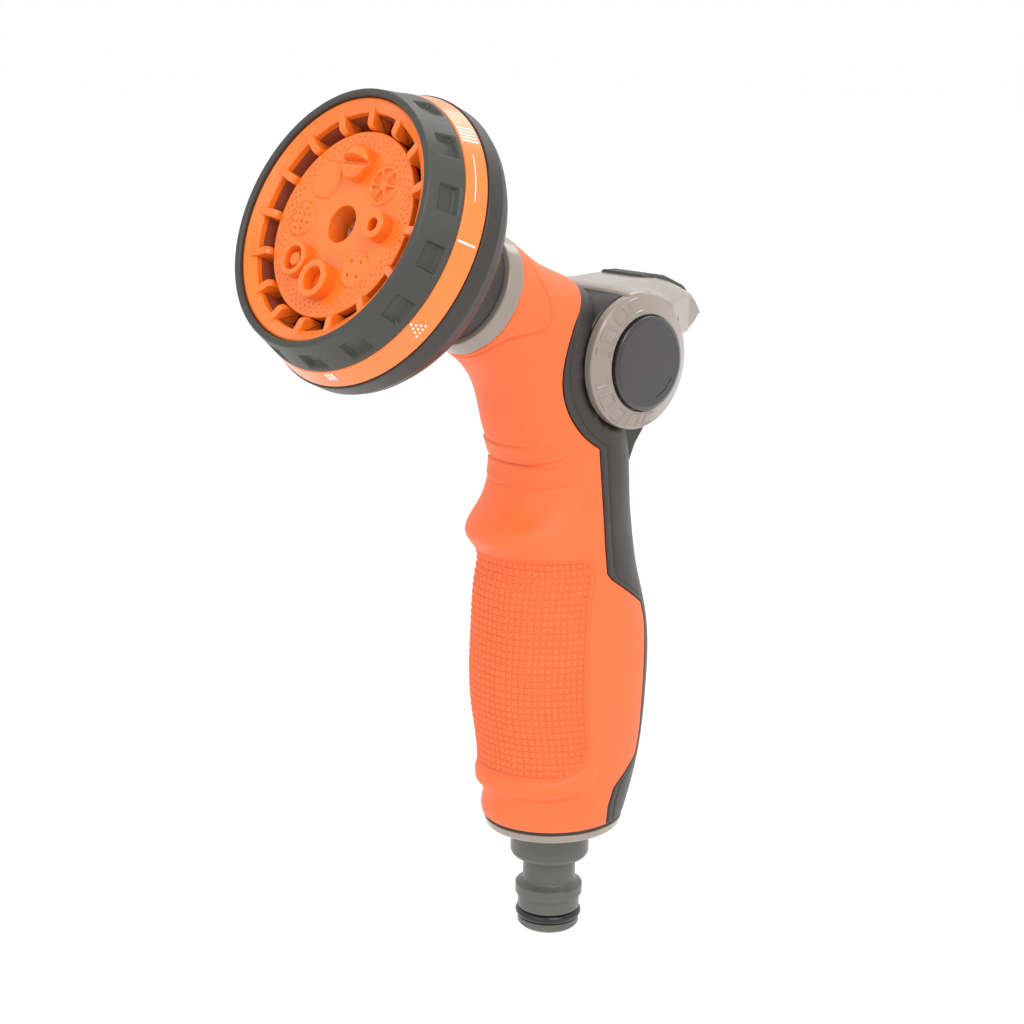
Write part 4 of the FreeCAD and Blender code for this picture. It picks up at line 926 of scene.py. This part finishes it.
def make_band_marks():
    """Plain strokes and dots that show the spray patterns."""
    marks = [cone_patch(at - 0.4, at + 0.4, 76.3, 80.3) for at in np.linspace(45.0, 52.0, 5)]
    marks.append(cone_patch(1.6, 2.4, 76.5, 80.4))
    marks.append(cone_patch(18, 38, 78.5, 78.62))
    marks += [cone_patch(at - 0.4, at + 0.4, 78.0, 80.2) for at in (-80.4, -78.8, -77.2)]
    for row in range(4):
        for dot in range(row + 1):
            station = 80.2 - 0.85 * row
            at = -33.8 + 1.7 * (dot - row / 2)
            marks.append(cone_patch(at - 0.35, at + 0.35, station - 0.2, station + 0.2))
    piece("band_marks", marks, "spray_head", PRINT)


def spray_holes(distance, turn, circle, count, size):
    """1 at each of a ring of small holes and 0 away from them."""
    side = np.abs(around(turn, count, math.pi / count)) * circle
    return 1 - step_up(np.hypot(distance - circle, side), size * 0.6, size * 1.15)


def wheel_relief(distance, turn):
    """A rim, a hub and six spokes, with sunk openings between them."""
    spokes = np.abs(around(turn, 6)) * distance
    solid = np.maximum(bump_between(distance, 3.75, 4.6, 0.3), 1 - step_up(distance, 0.95, 1.25))
    solid = np.maximum(solid, (1 - step_up(spokes, 0.22, 0.5)) * (distance < 4))
    return np.where(distance < 4.9, 0.42 * solid - 0.35 * (1 - solid) * (distance < 3.9), 0)


def face_relief(angle, radius, station):
    """Domes, spokes and spray holes on the front of the face plate."""
    x, y = radius * np.cos(angle), radius * np.sin(angle)

    def from_outlet(kind):
        centre_x, centre_y = outlet_centre(kind)
        return np.hypot(x - centre_x, y - centre_y), np.arctan2(y - centre_y, x - centre_x)

    shower, turn = from_outlet("shower")
    height = 0.5 * (1 - step_up(shower, 3.9, 4.4)) - 0.9 * spray_holes(shower, turn, 2.2, 4, 0.42)
    mist, turn = from_outlet("mist")
    height += (0.35 + 0.6 * np.clip(1 - (mist / 4.3) ** 2, 0, 1)) * (1 - step_up(mist, 3.8, 4.3))
    height -= 0.9 * np.maximum(spray_holes(mist, turn, 2.6, 8, 0.36), spray_holes(mist, turn, 1.2, 4, 0.36))
    height += 0.45 * (1 - step_up(from_outlet("flat")[0], 4.2, 4.6))
    height += wheel_relief(*from_outlet("wheel"))
    for circle, offset in ((18.2, 0.0), (19.2, 0.5), (20.2, 0.0)):
        side = np.abs(around(angle, EDGE_HOLES, offset * 2 * math.pi / EDGE_HOLES)) * circle
        height -= 0.5 * (1 - step_up(np.hypot(radius - circle, side), 0.1, 0.26))
    top = station > FACE - 0.25
    return radius, np.where(top, station + height, station)


def make_plate():
    plate = [(4.25, 79.2), (4.25, FACE, 0.35), (21.45, FACE, 0.35), (21.45, 83.15), (5.7, 83.15), (5.7, 79.2)]
    outline = divided(rounded(plate), 0.2)
    piece("face_plate", [turned(outline, HEAD, 900, face_relief)], "spray_head", ORANGE,
          ["spray_plate"])


def fan_top(angle, radius, station):
    """A dome cut across by a V slot."""
    y = radius * np.sin(angle)
    dome = FACE + 1.7 + 2.4 * np.sqrt(np.clip(1 - (radius / 4.1) ** 2, 0, 1))
    slot = FACE + 1.5 + np.maximum(0, np.abs(y) - 0.18) * 2.1
    top = station > FACE + 1
    return radius, np.where(top, np.minimum(dome, slot), station)


def make_nozzles():
    rear = 82.75
    fan = [(0, FACE + 4.1), (4.05, FACE + 1.7), (4.05, rear), (0, rear)]
    jet = [(1.5, rear), (3.2, rear), (3.2, FACE + 3.0, 0.5), (1.5, FACE + 3.0, 0.35)]
    cone = [(2.5, rear), (4.35, rear), (4.35, FACE + 3.1, 0.6), (2.75, FACE + 3.1, 0.55), (2.6, FACE + 0.6)]
    swirl = [(0, rear), (4.0, rear), (4.0, FACE + 2.4, 0.5), (2.75, FACE + 2.4, 0.4), (2.7, FACE - 0.6, 0.2),
             (1.6, FACE - 0.6, 0.2), (1.6, FACE + 1.7, 0.5), (0, FACE + 1.8)]
    fan_shape = turned(divided(np.array(fan), 0.15), on_face("fan"), 240, fan_top)
    piece("fan_outlet", [fan_shape], "spray_head", ORANGE, ["fan_nozzle"])
    for kind, outline in (("jet", jet), ("cone", cone), ("swirl", swirl)):
        flattened(piece(kind + "_outlet", [turned(rounded(outline), on_face(kind), 96)], "spray_head", ORANGE,
                        [kind + "_nozzle"]))


# ---------------------------------------------------------------- stage

CAMERA_PLACE = (345.67, -344.01, 227.27)
CAMERA_AZIMUTH, CAMERA_ELEVATION, CAMERA_ROLL = 46.45, 13.63, 1.03
CAMERA_LENS = 71.44
# In metres from here on: the floor, the point the lights face, and each softbox as azimuth, elevation,
# distance, size and power.
FLOOR_HALF, FLOOR_LEVEL = 12.0, -0.35
FLOOR_GLOW = 0.12
LIT_POINT = (0, 0, 0.11)
SOFTBOXES = {
    "key": (75, 42, 0.9, 0.45, 3.4),
    "front": (5, 25, 1.0, 0.6, 1.4),
    "rim": (200, 50, 1.0, 0.5, 2.0),
}


def towards(azimuth, elevation):
    """The way from the nozzle to something at this azimuth and elevation, in degrees."""
    turn, lift = math.radians(azimuth), math.radians(elevation)
    return Vector((math.sin(turn) * math.cos(lift), -math.cos(turn) * math.cos(lift), math.sin(lift)))


def make_camera():
    turn, roll = math.radians(CAMERA_AZIMUTH), math.radians(CAMERA_ROLL)
    back = towards(CAMERA_AZIMUTH, CAMERA_ELEVATION)
    right = Vector((math.cos(turn), math.sin(turn), 0))
    up = back.cross(right)
    across = right * math.cos(roll) + up * math.sin(roll)
    upright = up * math.cos(roll) - right * math.sin(roll)
    camera = bpy.data.cameras.new("camera")
    camera.lens = CAMERA_LENS
    camera.clip_start = 0.01
    camera.clip_end = 20
    holder = bpy.data.objects.new("camera", camera)
    turned_by = Matrix((across, upright, back)).transposed().to_4x4()
    holder.matrix_world = Matrix.Translation(Vector(CAMERA_PLACE) * MM) @ turned_by
    bpy.context.scene.collection.objects.link(holder)
    bpy.context.scene.camera = holder


def soft_light(name, azimuth, elevation, distance, size, power):
    """A square softbox that faces the nozzle's middle."""
    light = bpy.data.lights.new(name, "AREA")
    light.size = size
    light.energy = power
    holder = bpy.data.objects.new(name, light)
    back = towards(azimuth, elevation)
    holder.location = Vector(LIT_POINT) + back * distance
    holder.rotation_mode = "QUATERNION"
    holder.rotation_quaternion = (-back).to_track_quat("-Z", "Y")
    bpy.context.scene.collection.objects.link(holder)


def make_floor():
    """A white floor well below the nozzle, with a slight glow."""
    half, level = FLOOR_HALF, FLOOR_LEVEL
    corners = [(-half, -half, level), (half, -half, level), (half, half, level), (-half, half, level)]
    mesh = bpy.data.meshes.new("floor")
    mesh.from_pydata(corners, [], [(0, 1, 2, 3)])
    white = look("floor", (250, 250, 250), 0.8, mottle=0.0)
    glow = white.node_tree.nodes["Principled BSDF"].inputs
    glow["Emission Color"].default_value = (1, 1, 1, 1)
    glow["Emission Strength"].default_value = FLOOR_GLOW
    mesh.materials.append(white)
    floor = bpy.data.objects.new("floor", mesh)
    bpy.context.scene.collection.objects.link(floor)


def make_stage():
    """The floor, a white surround and three softboxes."""
    make_floor()
    world = bpy.data.worlds.new("studio")
    world.use_nodes = True
    surround = world.node_tree.nodes["Background"].inputs
    surround["Color"].default_value = (1, 1, 1, 1)
    surround["Strength"].default_value = 1.0
    bpy.context.scene.world = world
    for name, setting in SOFTBOXES.items():
        soft_light(name, *setting)
    bpy.context.scene.view_settings.view_transform = "Standard"


make_grip()
make_spine()
make_collars()
make_connector()
make_lever()
make_head_shells()
make_band_marks()
make_bezel()
make_window_shade_floor()
make_plate()
make_nozzles()
make_camera()
make_stage()
